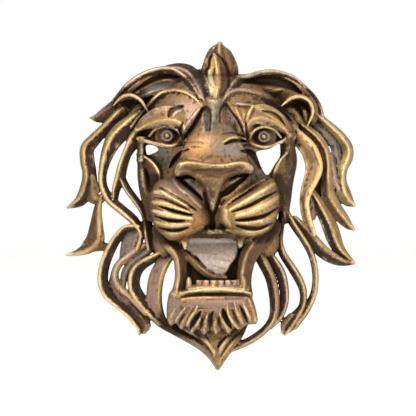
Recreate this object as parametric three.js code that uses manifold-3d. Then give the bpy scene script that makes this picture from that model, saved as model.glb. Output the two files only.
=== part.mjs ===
// Lion head wall mask: one hollow casting, pierced between the locks of its mane.
// It hangs flat against a wall. +Z is up, the face looks along -Y, the wall is the plane Y = 0,
// and the origin is the middle of the flat pad behind the crest.
import * as THREE from "three";
import Module from "manifold-3d";
import { mergeVertices } from "three/addons/utils/BufferGeometryUtils.js";

const wasm = await Module();
wasm.setup();

// Driving sizes, in millimetres
const MASK_HEIGHT = 210; // crest tip to goatee tip
const MASK_DEPTH = 72; // wall to the front of the nose
const LOCK_THICKNESS = 9; // a lock of the mane, front to back
const PAD_RADIUS = 10; // flat pad behind the crest
const PAD_THICKNESS = 14;
const HOLLOW_WIDTH = 74; // the dome scooped out of the back
const HOLLOW_HEIGHT = 80;
const HOLLOW_DEPTH = 42;
const HOLLOW_BELOW_PAD = 3; // pad edge to the top of the hollow, where the nail catches
const VIEWING_DISTANCE = 700; // from which the carving below is laid out

// The carving is laid out as seen from the front, in millimetres of a mask drawn this high and deep:
// x to the right, z up, h out of the wall. What stands proud is drawn in towards the eye line.
const DRAWN_HEIGHT = 207.8;
const DRAWN_DEPTH = 72;
const EYE_LINE = { x: -5.8, z: -75.8 };
const SCALE = MASK_HEIGHT / DRAWN_HEIGHT;
const DEPTH_SCALE = MASK_DEPTH / DRAWN_DEPTH;
const thickness = LOCK_THICKNESS / DEPTH_SCALE;

function placed({ x, z, h }) {
  const out = h * DEPTH_SCALE;
  const drawnIn = 1 - out / VIEWING_DISTANCE;
  return new THREE.Vector3(
    (EYE_LINE.x + (x - EYE_LINE.x) * drawnIn) * SCALE,
    -out,
    (EYE_LINE.z + (z - EYE_LINE.z) * drawnIn) * SCALE,
  );
}

// The skull and the dome of the mane, which every lock lies on
const SKULL = { x: -1.5, z: -32, h: 11, across: 50, up: 44, out: 38 };
const MANE = { x: -3, z: -70, across: 95, up: 112, rim: 9, rise: 29 };

// How far out the front of a turned mass stands at x, z
function massFront([mx, mz, mh, across, up, out, turn], x, z) {
  const a = THREE.MathUtils.degToRad(turn);
  const u = ((x - mx) * Math.cos(a) + (z - mz) * Math.sin(a)) / across;
  const v = ((z - mz) * Math.cos(a) - (x - mx) * Math.sin(a)) / up;
  return mh + out * Math.sqrt(Math.max(0, 1 - u * u - v * v));
}

function skullFront(x, z) {
  const dx = (x - SKULL.x) / SKULL.across;
  const dz = (z - SKULL.z) / SKULL.up;
  const left = 1 - dx * dx - dz * dz;
  return left > 0 ? SKULL.h + SKULL.out * Math.sqrt(left) : 0;
}

function ground(x, z) {
  const dx = (x - MANE.x) / MANE.across;
  const dz = (z - MANE.z) / MANE.up;
  const dome = MANE.rim + MANE.rise * Math.max(0, 1 - dx * dx - dz * dz);
  return Math.max(dome, skullFront(x, z));
}

// Locks of the mane, root to tip: rows of [x, z, half width]; lift over the ground; crest from -1 at
// the right of the way along the lock to 1 at its left; drop from the crest to the edge.
const LOCKS = {
  crest_back: {
    path: [
      [1, -6, 6], [1, 4, 10.2], [1.8, 12, 12], [1.6, 20, 9.8], [1.5, 26, 6.5], [1.8, 30.45, 1.6],
    ],
    lift: [2, 0, 0], crest: 0, drop: 2,
  },
  crest_petal: {
    path: [[-1, -7, 3.5], [0.5, 3, 6], [0.5, 10, 6.5], [-0.5, 17, 4.4], [-2, 23, 0.8]],
    lift: [3, 5, 3], crest: 0, drop: 3,
  },
  crown_left_1: {
    path: [[-8, -5, 2.5], [-12, 5, 3.7], [-17, 11.8, 3.7], [-24, 14.9, 2.4], [-32, 15, 1.1]],
    lift: [3, 3, 1], crest: 0.4, drop: 2,
  },
  crown_left_2: {
    path: [
      [-12, -5, 2], [-20, 5, 3.5], [-28, 10.9, 3.5], [-36, 12.2, 2.9], [-46, 9.1, 3.1], [-56, 2.6, 3],
      [-66.5, -7, 1.2],
    ],
    lift: [3, 1, 1], crest: -0.6, drop: 2.5,
  },
  crown_left_3: {
    path: [[-20, 3, 3], [-32, 6.6, 3], [-42, 4.6, 3], [-57, -3, 1]],
    lift: [-1, -3, -3], crest: 0, drop: 2,
  },
  crown_left_4: {
    path: [[-14, -2, 2], [-23, 1.5, 3], [-33, 1.6, 3], [-43, -1, 3], [-51, -5, 2]],
    lift: [1, 0, 0], crest: 0.2, drop: 2,
  },
  left_brow_lock: {
    path: [
      [-12, -9, 1.5], [-18, -4.5, 2.5], [-25, -2, 2.8], [-32, -2.5, 3], [-38, -6, 3.2], [-48, -17.5, 3],
      [-54, -24, 2],
    ],
    lift: [1, 3, 3], crest: -0.6, drop: 3.2,
  },
  left_spike: {
    path: [[-58, -4, 3], [-65, -11, 4.8], [-70.5, -15, 4.6], [-76, -17.8, 3.4], [-81, -18, 0.8]],
    lift: [0, 0, -1], crest: -0.5, drop: 2.5,
  },
  left_long: {
    path: [
      [-50, -16, 3.5], [-59.5, -25, 5.8], [-66, -32, 5.6], [-70, -40, 4.4], [-72.4, -48, 3.3],
      [-73.6, -56, 2.7], [-72.6, -63, 2.7], [-68.5, -70, 2.8], [-61, -76.3, 2.7], [-52.5, -84, 2.7],
      [-48.3, -92.5, 2], [-51, -102, 1.2],
    ],
    lift: [3, 4, 3], crest: -0.4, drop: 3,
  },
  left_inner: {
    path: [
      [-48, -26, 4.5], [-53, -32.5, 4.5], [-57.8, -41, 3.2], [-60.9, -50, 3.4], [-62.4, -57, 3.6],
      [-64.8, -64, 2.8], [-65.5, -71, 1.9],
    ],
    lift: [3, 2, 1], crest: -0.6, drop: 3,
  },
  left_cheek_lock: {
    path: [
      [-60.5, -57.5, 2.2], [-56.8, -64.6, 2.4], [-47.6, -77.3, 2.5], [-44.6, -85, 3], [-44, -93, 3],
      [-43, -101, 2.5],
    ],
    lift: [1, 4, 4], crest: -0.6, drop: 3,
  },
  left_outer: {
    path: [
      [-61.5, -14.5, 4], [-72, -25, 3.6], [-78.5, -32, 4.6], [-83, -38, 4.9], [-83.2, -46, 4.7],
      [-82, -53, 4.6], [-82.5, -61, 5], [-87.4, -70.7, 3.9], [-96, -75.6, 0.8],
    ],
    lift: [0, 2, 1], crest: -0.45, drop: 3,
  },
  left_outer_foot: {
    path: [[-80.5, -57, 3], [-80, -65, 5], [-79, -69.3, 4], [-74, -70.5, 2]],
    lift: [0, 0, 0], crest: 0, drop: 2,
  },
  left_tail: {
    path: [
      [-75.2, -69, 1.8], [-76.4, -79, 2.5], [-77, -89, 4.2], [-78.5, -96.5, 6], [-84, -101.8, 3.9],
      [-90, -104.6, 2], [-96.6, -106, 0.7],
    ],
    lift: [1, 2, 1], crest: 0.3, drop: 3,
  },
  left_tail_foot: {
    path: [[-82, -99.5, 4.5], [-76, -100, 3.6], [-70, -101, 2.2]],
    lift: [0, 0, 0], crest: 0, drop: 2,
  },
  left_curl: {
    path: [[-46, -86, 2.5], [-52, -91, 4.7], [-55, -98, 6], [-57.6, -104, 5], [-60, -109, 3]],
    lift: [0, 0, 0], crest: 0.3, drop: 2,
  },
  left_low_1: {
    path: [
      [-51, -88.8, 2.2], [-58.5, -89, 2.4], [-63.7, -94.5, 3], [-68.6, -103, 3.3], [-72.3, -113, 3.4],
      [-73.3, -123, 3.5], [-70.3, -131.5, 3.2], [-63.5, -138, 2.8], [-55.5, -145, 2.8], [-50, -152, 2.6],
      [-50, -157, 0.9],
    ],
    lift: [3, 2, 2], crest: -0.6, drop: 3,
  },
  left_low_fill: {
    path: [
      [-66.5, -117, 1.4], [-67, -124, 2.2], [-62.5, -132, 3], [-55, -139.5, 3.2], [-48.5, -146.5, 3],
    ],
    lift: [-2, -2, -2], crest: 0, drop: 1.5,
  },
  left_low_foot: {
    path: [[-55, -139, 2.5], [-49, -146, 4], [-46, -151, 3.6], [-47, -155, 2]],
    lift: [-1, 0, 0], crest: 0, drop: 2,
  },
  left_low_2: {
    path: [
      [-47, -100, 2], [-56, -106, 2.1], [-63, -112, 2.4], [-65.6, -119, 2.5], [-63, -126.5, 2.4],
      [-56, -132.5, 2.3], [-46, -143, 2],
    ],
    lift: [1, 1, 1], crest: -0.2, drop: 2,
  },
  left_low_3: {
    path: [
      [-40, -100.5, 2], [-49, -107, 2.6], [-56, -112.5, 2.6], [-59.5, -119, 2.4], [-60.5, -128, 1.7],
    ],
    lift: [1, 0, -1], crest: 0, drop: 2,
  },
  left_low_4: {
    path: [
      [-30, -103, 2], [-46, -111, 3.2], [-52, -117, 3.9], [-53.4, -125, 4], [-51.2, -131, 4],
      [-45.6, -138.5, 3.8], [-41, -144, 3],
    ],
    lift: [3, 2, 2], crest: -0.6, drop: 3,
  },
  left_low_5: {
    path: [
      [-28.5, -104.5, 2.6], [-35, -112, 4.2], [-39.3, -120, 4.5], [-40.8, -129, 4.7], [-40.3, -138, 4.6],
      [-35.5, -147.5, 3], [-31, -152, 2.4],
    ],
    lift: [2, 2, 2], crest: 0.5, drop: 2.4,
  },
  goatee_left: {
    path: [
      [-46, -141, 2], [-37, -148.4, 2.8], [-28, -153.4, 3.1], [-19, -158.1, 3.3], [-10, -163.7, 3.2],
      [-3.5, -171, 2.5], [0, -179.6, 0.8],
    ],
    lift: [1, 3, 3], crest: -0.3, drop: 2.6,
  },
  goatee_right: {
    path: [
      [15.5, -150, 2.6], [12.3, -156, 3], [8, -162.5, 3], [4, -170, 2.8], [0.7, -179.5, 0.9],
    ],
    lift: [2, 3, 3], crest: 0.4, drop: 2.8,
  },
  goatee_inner_left: {
    path: [[-17, -149, 2.4], [-10, -157, 2.4], [-4, -164.5, 2.4], [0, -172, 1.4]],
    lift: [8, 5, 3], crest: 0, drop: 2,
  },
  goatee_inner_right: {
    path: [[16, -148, 2.4], [10, -155.5, 2.4], [4, -163.5, 2.4], [0.5, -172, 1.4]],
    lift: [8, 5, 3], crest: 0, drop: 2,
  },
  right_low_1: {
    path: [
      [24, -101, 2.6], [29.6, -111, 3.4], [34, -120, 3.4], [36.2, -129, 3.4], [37, -138, 3.2],
      [36, -146, 2.8], [31.5, -153, 2.4], [24.5, -158.8, 2.5], [17.5, -162.6, 2.4], [10, -166, 2.2],
    ],
    lift: [2, 2, 3], crest: 0.3, drop: 2.6,
  },
  right_low_2: {
    path: [
      [28.5, -99.5, 2.2], [35.8, -107.5, 2.9], [41, -116, 3.3], [43.2, -125, 3.2], [43.3, -135, 2.9],
      [40.5, -144.5, 2.5], [34, -152, 2],
    ],
    lift: [0, 1, 1], crest: 0.5, drop: 2.5,
  },
  right_low_3: {
    path: [
      [41.6, -79, 2.2], [41, -88, 2.4], [40.5, -97, 2.2], [43.6, -104.5, 2.3], [51.4, -115.4, 2.5],
      [54.8, -124, 2.5], [55.4, -132, 2.4], [53.8, -140, 2.7], [49, -147.5, 4], [45.5, -153, 3.4],
      [43.6, -157, 1],
    ],
    lift: [1, 2, 2], crest: 0.4, drop: 3,
  },
  right_low_foot: {
    path: [[48, -143, 3], [44, -150, 3.4], [42.6, -155, 1.8]],
    lift: [0, 0, 0], crest: 0, drop: 2,
  },
  right_low_4: {
    path: [
      [43.8, -77.6, 2.2], [49.2, -87, 2.3], [55.5, -96.4, 2.2], [60.6, -106, 2.2], [63.1, -118, 2.1],
      [62.2, -130, 2.2], [57.2, -141, 2.6], [49.5, -151.5, 2.6],
    ],
    lift: [2, 2, 2], crest: 0.4, drop: 2.5,
  },
  right_broad: {
    path: [
      [45, -24, 4.2], [57.2, -36, 5.3], [61, -43, 5.6], [62.4, -50, 5.7], [60.6, -57, 5], [57.8, -64, 4],
      [56.2, -72, 3.2], [57.4, -81, 3], [61.5, -92.5, 2.2],
    ],
    lift: [3, 4, 3], crest: 0.6, drop: 2.2,
  },
  right_second: {
    path: [
      [56, -24, 2.6], [64, -31, 3.4], [69, -39, 3.3], [70.7, -48, 3.1], [70.6, -58, 3.9],
      [71.3, -67, 4.7], [75.3, -75.6, 4.8], [80.6, -82.3, 4], [84.6, -87, 2.7], [88.2, -89.6, 0.9],
    ],
    lift: [2, 1, 1], crest: 0.3, drop: 3,
  },
  right_shadow: {
    path: [[66, -52, 2], [64.5, -60, 3.2], [63.5, -68, 3.4], [65, -76, 2.6]],
    lift: [-4, -4, -4], crest: 0, drop: 1,
  },
  right_web: {
    path: [[60, -70, 2.4], [61.8, -77, 2.6], [61.8, -82, 1.6]],
    lift: [-2, -2, -2], crest: 0, drop: 1,
  },
  right_narrow: {
    path: [[73, -42, 1.6], [74.7, -51, 2], [76.3, -59, 2.3], [82, -70, 1.3]],
    lift: [-1, 0, -1], crest: 0, drop: 1.5,
  },
  right_outer: {
    path: [
      [63, -15, 2], [71, -22.3, 2.8], [78.5, -29.2, 3.3], [83.4, -36.5, 3.7], [83.7, -43.5, 3.6],
      [80.8, -50.5, 3.2], [80, -58, 3.2], [81, -66, 4.9], [84.5, -71.4, 3.7], [88.3, -74.2, 1],
    ],
    lift: [1, 1, 1], crest: 0.2, drop: 3,
  },
  right_sunk: {
    path: [[60, -20, 2], [69, -27, 3], [75.3, -35, 3.3], [77.5, -44, 3], [79, -54, 2]],
    lift: [-2, -3, -2], crest: 0, drop: 1.5,
  },
  right_tip: {
    path: [
      [59, -63, 2.4], [64.6, -72, 3.6], [68.8, -80, 4.4], [72.6, -88, 5], [75, -95, 4.9],
      [78, -101.5, 3.9], [82.5, -106.5, 2.6], [87.8, -110.4, 0.9],
    ],
    lift: [0, 1, 1], crest: 0.2, drop: 3,
  },
  right_crescent: {
    path: [
      [50, -82.6, 2], [57, -90.6, 3], [62.3, -97.2, 4], [67.8, -103.7, 4.3], [74.5, -108.1, 3.8],
      [81, -110.6, 2.5], [88, -111.3, 0.9],
    ],
    lift: [1, 2, 1], crest: 0.4, drop: 2.5,
  },
  crown_right_1: {
    path: [
      [7, -3, 2.2], [13.5, 5.3, 4], [20, 7.8, 2.6], [29, 10.6, 2.2], [38, 11.2, 1.8], [48, 7.9, 1.9],
      [54.6, 2.4, 2], [61, -3.9, 2], [65.4, -10.8, 1.8], [67.8, -19, 1.5],
    ],
    lift: [3, 2, 1], crest: 0.5, drop: 2.5,
  },
  crown_right_2: {
    path: [[24, -4, 1.6], [43, -0.8, 2.8], [52, -1.6, 2.8], [63, -8, 1.8]],
    lift: [-1, -2, -2], crest: 0.7, drop: 2,
  },
  crown_right_3: {
    path: [
      [4, -8, 2], [9, -2.3, 2.3], [15, -0.3, 1.7], [24, -1.8, 1.6], [32, -5, 2], [45, -17, 2.6],
      [50, -24, 2.5],
    ],
    lift: [3, 4, 3], crest: 0.5, drop: 2.6,
  },
  crown_right_4: {
    path: [
      [13, -9.5, 1.6], [21, -10.7, 1.9], [36, -12.4, 1.8], [41.5, -16.5, 1.8], [47, -25, 1.7],
    ],
    lift: [2, 3, 3], crest: 0.5, drop: 2.5,
  },
};

// Ridges of the face: rows of [x, z, half width, h of the crest]; crest and drop as for the locks; how
// deep the underside lies under the crest line
const RIDGES = {
  brow_left: {
    path: [
      [-51, -25, 2, 34], [-45.5, -21, 4.6, 39], [-37.5, -17.8, 6.6, 43.5], [-29.5, -17, 7, 46.5],
      [-22.5, -20, 4.6, 48], [-18.5, -27, 3, 49],
    ],
    crest: -0.35, drop: 4, deep: 12,
  },
  brow_right: {
    path: [
      [49, -29.5, 2, 33], [42.5, -23, 4.6, 39], [34.5, -17.6, 6.4, 43.5], [26.5, -15.8, 6.6, 46.5],
      [20, -19.5, 4.6, 48], [16, -27, 3, 49],
    ],
    crest: 0.3, drop: 4, deep: 12,
  },
  brow_fold_right: {
    path: [[16.5, -27, 0.8, 47], [18.5, -21, 1.3, 49], [20.5, -15, 1.5, 49], [23, -10.5, 1, 46]],
    crest: 0, drop: 1.2, deep: 8,
  },
  lid_left: {
    path: [
      [-43.5, -30, 0.9, 38], [-39, -25.6, 1.3, 42], [-32, -23.6, 1.4, 45], [-25.5, -26, 1.3, 46.5],
      [-22, -31, 0.9, 46],
    ],
    crest: -0.2, drop: 1.2, deep: 9,
  },
  lid_right: {
    path: [
      [20.5, -31.5, 0.9, 46], [24, -26.4, 1.3, 46.5], [30, -24, 1.4, 45], [36.5, -26, 1.3, 42],
      [41, -30.5, 0.9, 38],
    ],
    crest: -0.2, drop: 1.2, deep: 9,
  },
  low_lid_left: {
    path: [
      [-51, -31.4, 1.2, 33], [-44, -33, 1.7, 37], [-36, -35, 1.6, 42], [-29, -35.8, 1.4, 45],
      [-22, -33.5, 1, 47],
    ],
    crest: 0.2, drop: 1.6, deep: 9,
  },
  low_lid_right: {
    path: [
      [19.5, -33.5, 1, 47], [27, -36.2, 1.4, 45], [34, -36, 1.6, 42], [41, -33, 1.7, 37],
      [47, -29.5, 1.2, 33],
    ],
    crest: 0.2, drop: 1.6, deep: 9,
  },
  fin_left: {
    path: [
      [-50.8, -41.2, 1, 31], [-47, -44.6, 2.4, 36], [-42.8, -48.8, 3.3, 40], [-39.8, -54.5, 3.6, 43.5],
      [-39.5, -63, 3.4, 46],
    ],
    crest: 0.75, drop: 3.4, deep: 16,
  },
  fin_right: {
    path: [
      [48, -38.8, 1, 31], [44.5, -43.5, 2.6, 36], [40.8, -50, 3.6, 40], [39.2, -57.5, 4, 43.5],
      [40.3, -68, 4, 45],
    ],
    crest: -0.75, drop: 3.4, deep: 16,
  },
  jaw_left: {
    path: [
      [-36, -90, 5.5, 44], [-31, -97, 5.2, 43], [-25.4, -104.5, 4.4, 42], [-23.4, -112, 4, 42.5],
      [-23.2, -121, 4, 43.5], [-24.4, -129.5, 4.6, 44.5],
    ],
    crest: -0.35, drop: 4, deep: 18,
  },
  jaw_right: {
    path: [
      [35, -88, 6, 44], [28, -96, 6.4, 43.5], [20.6, -106, 5.6, 42.5], [18, -116, 4.9, 43],
      [17.4, -124, 4.7, 44], [17.8, -130.5, 5, 44.5],
    ],
    crest: -0.3, drop: 4, deep: 18,
  },
  lip: {
    path: [
      [-26, -131.6, 1.2, 43], [-19, -129.4, 1.7, 47], [-8, -128.4, 1.9, 49], [6, -128.4, 1.9, 49],
      [17, -129.2, 1.8, 47], [24, -131, 1.1, 43],
    ],
    crest: 0.3, drop: 1.4, deep: 12,
  },
  tongue_edge: {
    path: [
      [-21.5, -103, 0.8, 37.5], [-16, -108.3, 1.3, 38.5], [-9.5, -114.6, 1.4, 39.5],
      [-2, -119.8, 1.4, 40], [5, -120.3, 1.1, 39.5],
    ],
    crest: 0, drop: 1.2, deep: 14,
  },
  ear_left: {
    path: [
      [-66, -9, 1.2, 22], [-61, -4.7, 1.6, 27], [-55, -3.5, 1.6, 30], [-49, -6.7, 1.6, 32],
      [-45, -12.5, 1.4, 33],
    ],
    crest: 0, drop: 1.4, deep: 14,
  },
  ear_right: {
    path: [
      [42, -9.5, 1.2, 33], [47.3, -5.6, 1.6, 32], [54, -4.4, 1.7, 30], [59.6, -8, 1.7, 28],
      [61.3, -15, 1.6, 27], [58.4, -22.3, 1.2, 27],
    ],
    crest: 0, drop: 1.4, deep: 14,
  },
};

// Round bars of the face: rows of [x, z, h, half width, half depth]
const BARS = {
  bridge: [
    [-2, -6, 42, 4.5, 8], [-2, -18, 45, 7, 8], [-2, -30, 49, 12, 9], [-2, -38, 53, 17.5, 9.5],
    [-2, -46.5, 59, 22.5, 11],
  ],
  nose_top: [
    [-26, -51, 52, 2.6, 8], [-18, -49.8, 61, 4.2, 9.5], [-8, -50, 62.5, 4.2, 9.5],
    [4, -50, 62.5, 4.2, 9.5], [15, -49.5, 61, 4.2, 9.5], [22.6, -50.8, 52, 2.8, 8],
  ],
  nose_front: [
    [-2, -47, 57, 20, 12], [-2, -54, 57, 15, 12], [-2.5, -62, 57, 5.6, 11], [-3, -71, 56, 4, 10],
    [-3, -79, 54, 3, 9],
  ],
  goatee: [[0, -150, 18, 15, 6], [0, -160, 16, 9, 6], [0, -170, 13, 3.5, 5]],
  post_left: [[-48, -30, 28, 3, 8], [-48.3, -37, 26, 3, 8], [-48.6, -46, 28, 3, 8]],
  post_right: [
    [46, -28, 28, 3, 8], [45.4, -37, 26, 4.8, 8], [46.2, -46, 26, 5.2, 8], [44.2, -58, 28, 5.1, 9],
    [42.9, -70, 30, 4.9, 9], [43.6, -81, 28, 4.5, 9],
  ],
  fin_left_back: [
    [-48.6, -44, 26, 2.6, 8], [-47.6, -56, 26, 3.5, 9], [-45.6, -66, 28, 4, 10], [-42, -76, 30, 5, 10],
    [-42, -84, 28, 4, 10],
  ],
  gum_top: [
    [-22, -92.5, 40, 3, 6], [-10, -91, 43, 3.4, 7], [4, -91, 43, 3.4, 7], [18, -92.5, 40, 3, 6],
  ],
  gum_low: [
    [-17, -127, 38, 2.4, 6], [-6, -127, 41, 2.4, 6], [6, -127, 41, 2.4, 6], [17, -127, 38, 2.4, 6],
  ],
};

// The jutting chin, as a broad bar from the lower lip to the tufts
const CHIN = [
  [-3, -129, 29, 24, 17], [-3, -136, 29, 26.5, 17.5], [-2.8, -148, 27, 28.2, 14.5],
  [-2.5, -152, 26, 24, 12], [-1.5, -155.6, 24, 16, 9],
];

// Rounded masses of the face: middle x, z, h, then half sizes across, up and out, and a turn in degrees
const MASSES = {
  muzzle: [-2, -66, 24, 42, 31, 32, 0],
  muzzle_top: [-2, -63, 36, 29, 17, 25, 0],
  pad_left: [-23.5, -78, 43, 21, 16, 22.5, -30],
  pad_right: [19.5, -77.5, 43, 21, 16, 22.5, 32],
  throat: [-3, -112, 16, 24.5, 24, 12, 0],
  jowl_left: [-34, -96, 24, 9, 13, 15, 0],
  jowl_right: [32, -95, 24, 9, 13, 15, 0],
};

// Flat plates, as outlines in the front view between two depths: the scalp behind the crown locks and
// the ears, against the wall, and the tongue
const PLATES = {
  scalp: {
    outline: [
      [-63, -8], [-50, 6], [-36, 10.5], [-20, 12], [0, 14], [16, 6], [34, 9.5], [48, 6.5], [60, -3],
      [65, -14], [56, -25], [0, -36], [-58, -24],
    ],
    back: 0,
    front: 17,
  },
  tongue: {
    outline: [
      [-17, -89], [-20, -104], [-13.5, -107], [-8.5, -113], [-3, -117.5], [2, -119], [5.5, -118],
      [8.7, -112.5], [13.2, -106], [12.5, -89],
    ],
    back: 20,
    front: 37,
  },
};

const EYES = {
  left: { x: -32, z: -29.5 },
  right: { x: 30, z: -30 },
};
const EYE = { h: 35, radius: 8.2, socketAcross: 9, socketUp: 6.4, socketDepth: 9, socketOut: 47 };

// Holes right through, as outlines in the front view, cut between these depths
const OPENINGS = {
  cheek_hole_left: [[-45.3, -35.6], [-40, -36.2], [-37.4, -38.6], [-41, -40.9], [-45.3, -40.8]],
  cheek_hole_right: [[26, -40], [34, -38.6], [40, -35], [40.3, -42], [36.5, -49], [32, -54.4], [28, -48]],
};
const OPENING_BACK = -50;
const OPENING_FRONT = 100;

// Hollows and slots cut into the face: rows of [x, z, h, half width, half depth]
const CUTS = {
  nostril_left: [[-25, -56, 56, 1.2, 3], [-19, -58.5, 62, 1.9, 5], [-11, -65, 67, 1, 4]],
  nostril_right: [[19, -55, 56, 1.4, 3], [13, -58, 62, 2, 5], [4, -66, 67, 1.1, 4]],
  forehead_left: [[-8, -11, 52, 1.5, 3], [-13, -19, 53, 1.2, 3], [-21, -31, 50, 0.8, 2]],
  forehead_right: [[5.5, -10, 50, 1, 2.5], [7, -19, 52, 3.4, 3.5], [10, -27, 53, 4, 3]],
  forehead_hollow: [[-7, -14, 50, 1.6, 3], [-7, -24, 53, 1.8, 3]],
  right_slit: [[5, -34, 58, 0.8, 2], [11, -32.5, 58, 1.2, 3], [18, -33.5, 55, 0.8, 2]],
  crease_left: [[-20, -38, 54, 0.9, 3], [-27, -46, 48, 1, 4], [-31, -51, 45, 0.9, 4]],
  crease_right: [[16, -39, 56, 0.9, 3], [22, -41, 52, 1.4, 4], [27, -49, 46, 1, 4]],
};

// Whisker grooves, cut along each pad's own surface: rows of [x, z]
const WHISKER_GROOVES = {
  pad_left: [
    [[-37, -63], [-27, -69], [-14, -77]],
    [[-38, -74.4], [-28, -77.5], [-15, -80.3]],
    [[-40, -81], [-29, -84], [-20, -84]],
    [[-37.5, -88.4], [-28, -90], [-18, -88.2]],
  ],
  pad_right: [
    [[34, -56.5], [20, -65], [7, -73.6]],
    [[38.5, -65], [26, -71.5], [9, -78.6]],
    [[39, -75.6], [28, -81.3], [12, -83.6]],
    [[35, -85.6], [24, -88.8], [12, -87]],
  ],
};
const WHISKER_GROOVE = { half: 1, deep: 2.8 };

// Teeth: the row runs from one x to the other, its ends set back by the bow
const UPPER_TEETH = {
  from: -13, to: 9, count: 4, root: -91, tip: -95.4, h: 41, bow: 0,
  half: 2, deep: 2.6, tipHalf: 1.5, tipDeep: 1.5,
};
const LOWER_TEETH = {
  from: -11.5, to: 11.5, count: 5, root: -128, tip: -122.2, h: 44, bow: 3,
  half: 2.1, deep: 2.8, tipHalf: 1.9, tipDeep: 2,
};
const FANGS = {
  upper_left: [[-21, -93, 46, 3, 3.2], [-20.6, -98, 46, 2.2, 2.4], [-20.3, -102.6, 45, 0.6, 0.6]],
  upper_right: [[14.6, -93, 43, 3, 3.2], [14.8, -98, 43, 2.2, 2.4], [14.6, -101.6, 42, 0.6, 0.6]],
  lower_left: [[-18, -128, 42, 2.4, 3], [-18, -123, 42, 1.8, 2.2], [-18, -119.8, 42, 0.6, 0.6]],
  lower_right: [[17, -128, 42, 2.4, 3], [17, -123, 42, 1.8, 2.2], [17, -119.8, 42, 0.6, 0.6]],
};

// Flame-shaped tufts of the chin, side by side, leaning in to the middle
const TUFTS = {
  count: 4, from: -20, to: 18, top: -138, bottom: -154.5, spread: 8, lean: 9,
  h: 42, half: 2.4, deep: 4.5, tipBack: 9, tipHalf: 0.8, tipDeep: 2,
};

// Facets of the coarse solids: round a bar, and columns by rows on a rounded mass
const BAR_SIDES = 6;
const CHIN_SIDES = 8;
const SMALL_BAR_SIDES = 4;
const MASS_FACETS = [9, 7];
const SKULL_FACETS = [16, 9];
const EYEBALL_FACETS = [10, 6];
const SOCKET_FACETS = [10, 6];
const HOLLOW_FACETS = [12, 8];
const PAD_FACETS = 16;
const POINTS_PER_BEND = 2;
const SMALLEST_DETAIL = 0.3; // facets that move the surface by less than this are left out

// A lock narrower than this has less drop, and one narrower than the next less depth
const FULL_DROP_HALF = 2.5;
const FULL_DEPTH_HALF = 2;
const LEAST_DEPTH_SHARE = 0.35;

// Turns a point list into an even walk along a smooth curve, with the other numbers carried along.
function walk(rows, steps) {
  const points = rows.map(([x, z]) => new THREE.Vector3(x, z, 0));
  const others = rows.map((row) => row.slice(2));
  const line = new THREE.CatmullRomCurve3(points, false, "centripetal");
  const stations = [];
  for (let i = 0; i <= steps; i++) {
    const t = i / steps;
    const along = t * (rows.length - 1);
    const k = Math.min(Math.floor(along), rows.length - 2);
    const at = line.getPoint(t);
    const way = line.getTangent(t);
    const values = others[k].map((v, j) => THREE.MathUtils.lerp(v, others[k + 1][j], along - k));
    stations.push({ x: at.x, z: at.y, sideX: -way.y, sideZ: way.x, values, t });
  }
  return stations;
}

// A closed body from rings of points, each ring counted anticlockwise as seen from the end of the walk.
function lofted(rings) {
  const around = rings[0].length;
  const positions = rings.flat().flatMap((p) => [p.x, p.z, p.h]);
  const faces = [];
  for (let i = 0; i + 1 < rings.length; i++) {
    for (let j = 0; j < around; j++) {
      const a = i * around + j;
      const b = i * around + ((j + 1) % around);
      faces.push(a, b, a + around, b, b + around, a + around);
    }
  }
  const last = (rings.length - 1) * around;
  for (let j = 1; j + 1 < around; j++) {
    faces.push(0, j + 1, j);
    faces.push(last, last + j, last + j + 1);
  }
  return bodyOf(positions, faces);
}

function bodyOf(positions, faces) {
  const mesh = new wasm.Mesh({
    numProp: 3,
    vertProperties: new Float32Array(positions),
    triVerts: new Uint32Array(faces),
  });
  return new wasm.Manifold(mesh);
}

function lockBody({ path, lift, crest, drop }) {
  const [root, middle, tip] = lift;
  const { lerp } = THREE.MathUtils;
  const liftAt = (t) => (t < 0.5 ? lerp(root, middle, t * 2) : lerp(middle, tip, t * 2 - 1));
  const rings = walk(path, path.length - 1).map(({ x, z, sideX, sideZ, values: [half], t }) => {
    const top = ground(x, z) + liftAt(t);
    const fall = drop * Math.min(1, half / FULL_DROP_HALF);
    const share = lerp(LEAST_DEPTH_SHARE, 1, Math.min(1, half / FULL_DEPTH_HALF));
    const point = (u, h) => ({ x: x + sideX * u * half, z: z + sideZ * u * half, h });
    return [
      point(1, top - fall * (1 - crest)),
      point(crest, top),
      point(-1, top - fall * (1 + crest)),
      point(0, top - thickness * share),
    ];
  });
  return lofted(rings);
}

function ridgeBody({ path, crest, drop, deep }) {
  const rings = walk(path, path.length - 1).map(({ x, z, sideX, sideZ, values: [half, top] }) => {
    const fall = drop * Math.min(1, half / FULL_DROP_HALF);
    const point = (u, h) => ({ x: x + sideX * u * half, z: z + sideZ * u * half, h });
    return [
      point(1, top - fall * (1 - crest)),
      point(crest, top),
      point(-1, top - fall * (1 + crest)),
      point(-1, top - deep),
      point(1, top - deep),
    ];
  });
  return lofted(rings);
}

// A round bar with an even number of sides, its facets set so that it keeps its half width.
function barBody(rows, sides = BAR_SIDES) {
  const stations = walk(rows, rows.length - 1);
  const widen = 1 / Math.cos(Math.PI / sides);
  return lofted(
    stations.map(({ x, z, sideX, sideZ, values: [h, half, deep] }) => {
      const ring = [];
      for (let j = 0; j < sides; j++) {
        const a = ((j + 0.5) / sides) * 2 * Math.PI;
        const u = Math.cos(a) * half * widen;
        ring.push({ x: x + sideX * u, z: z + sideZ * u, h: h + Math.sin(a) * deep });
      }
      return ring;
    }),
  );
}

function smallBarBody(rows) {
  return barBody(rows, SMALL_BAR_SIDES);
}

// A three.js solid as a body, with the vertices that its faces share made one.
function solidOf(geometry) {
  geometry.deleteAttribute("normal");
  geometry.deleteAttribute("uv");
  const shape = mergeVertices(geometry, 1e-3);
  return bodyOf(shape.attributes.position.array, shape.index.array);
}

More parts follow.
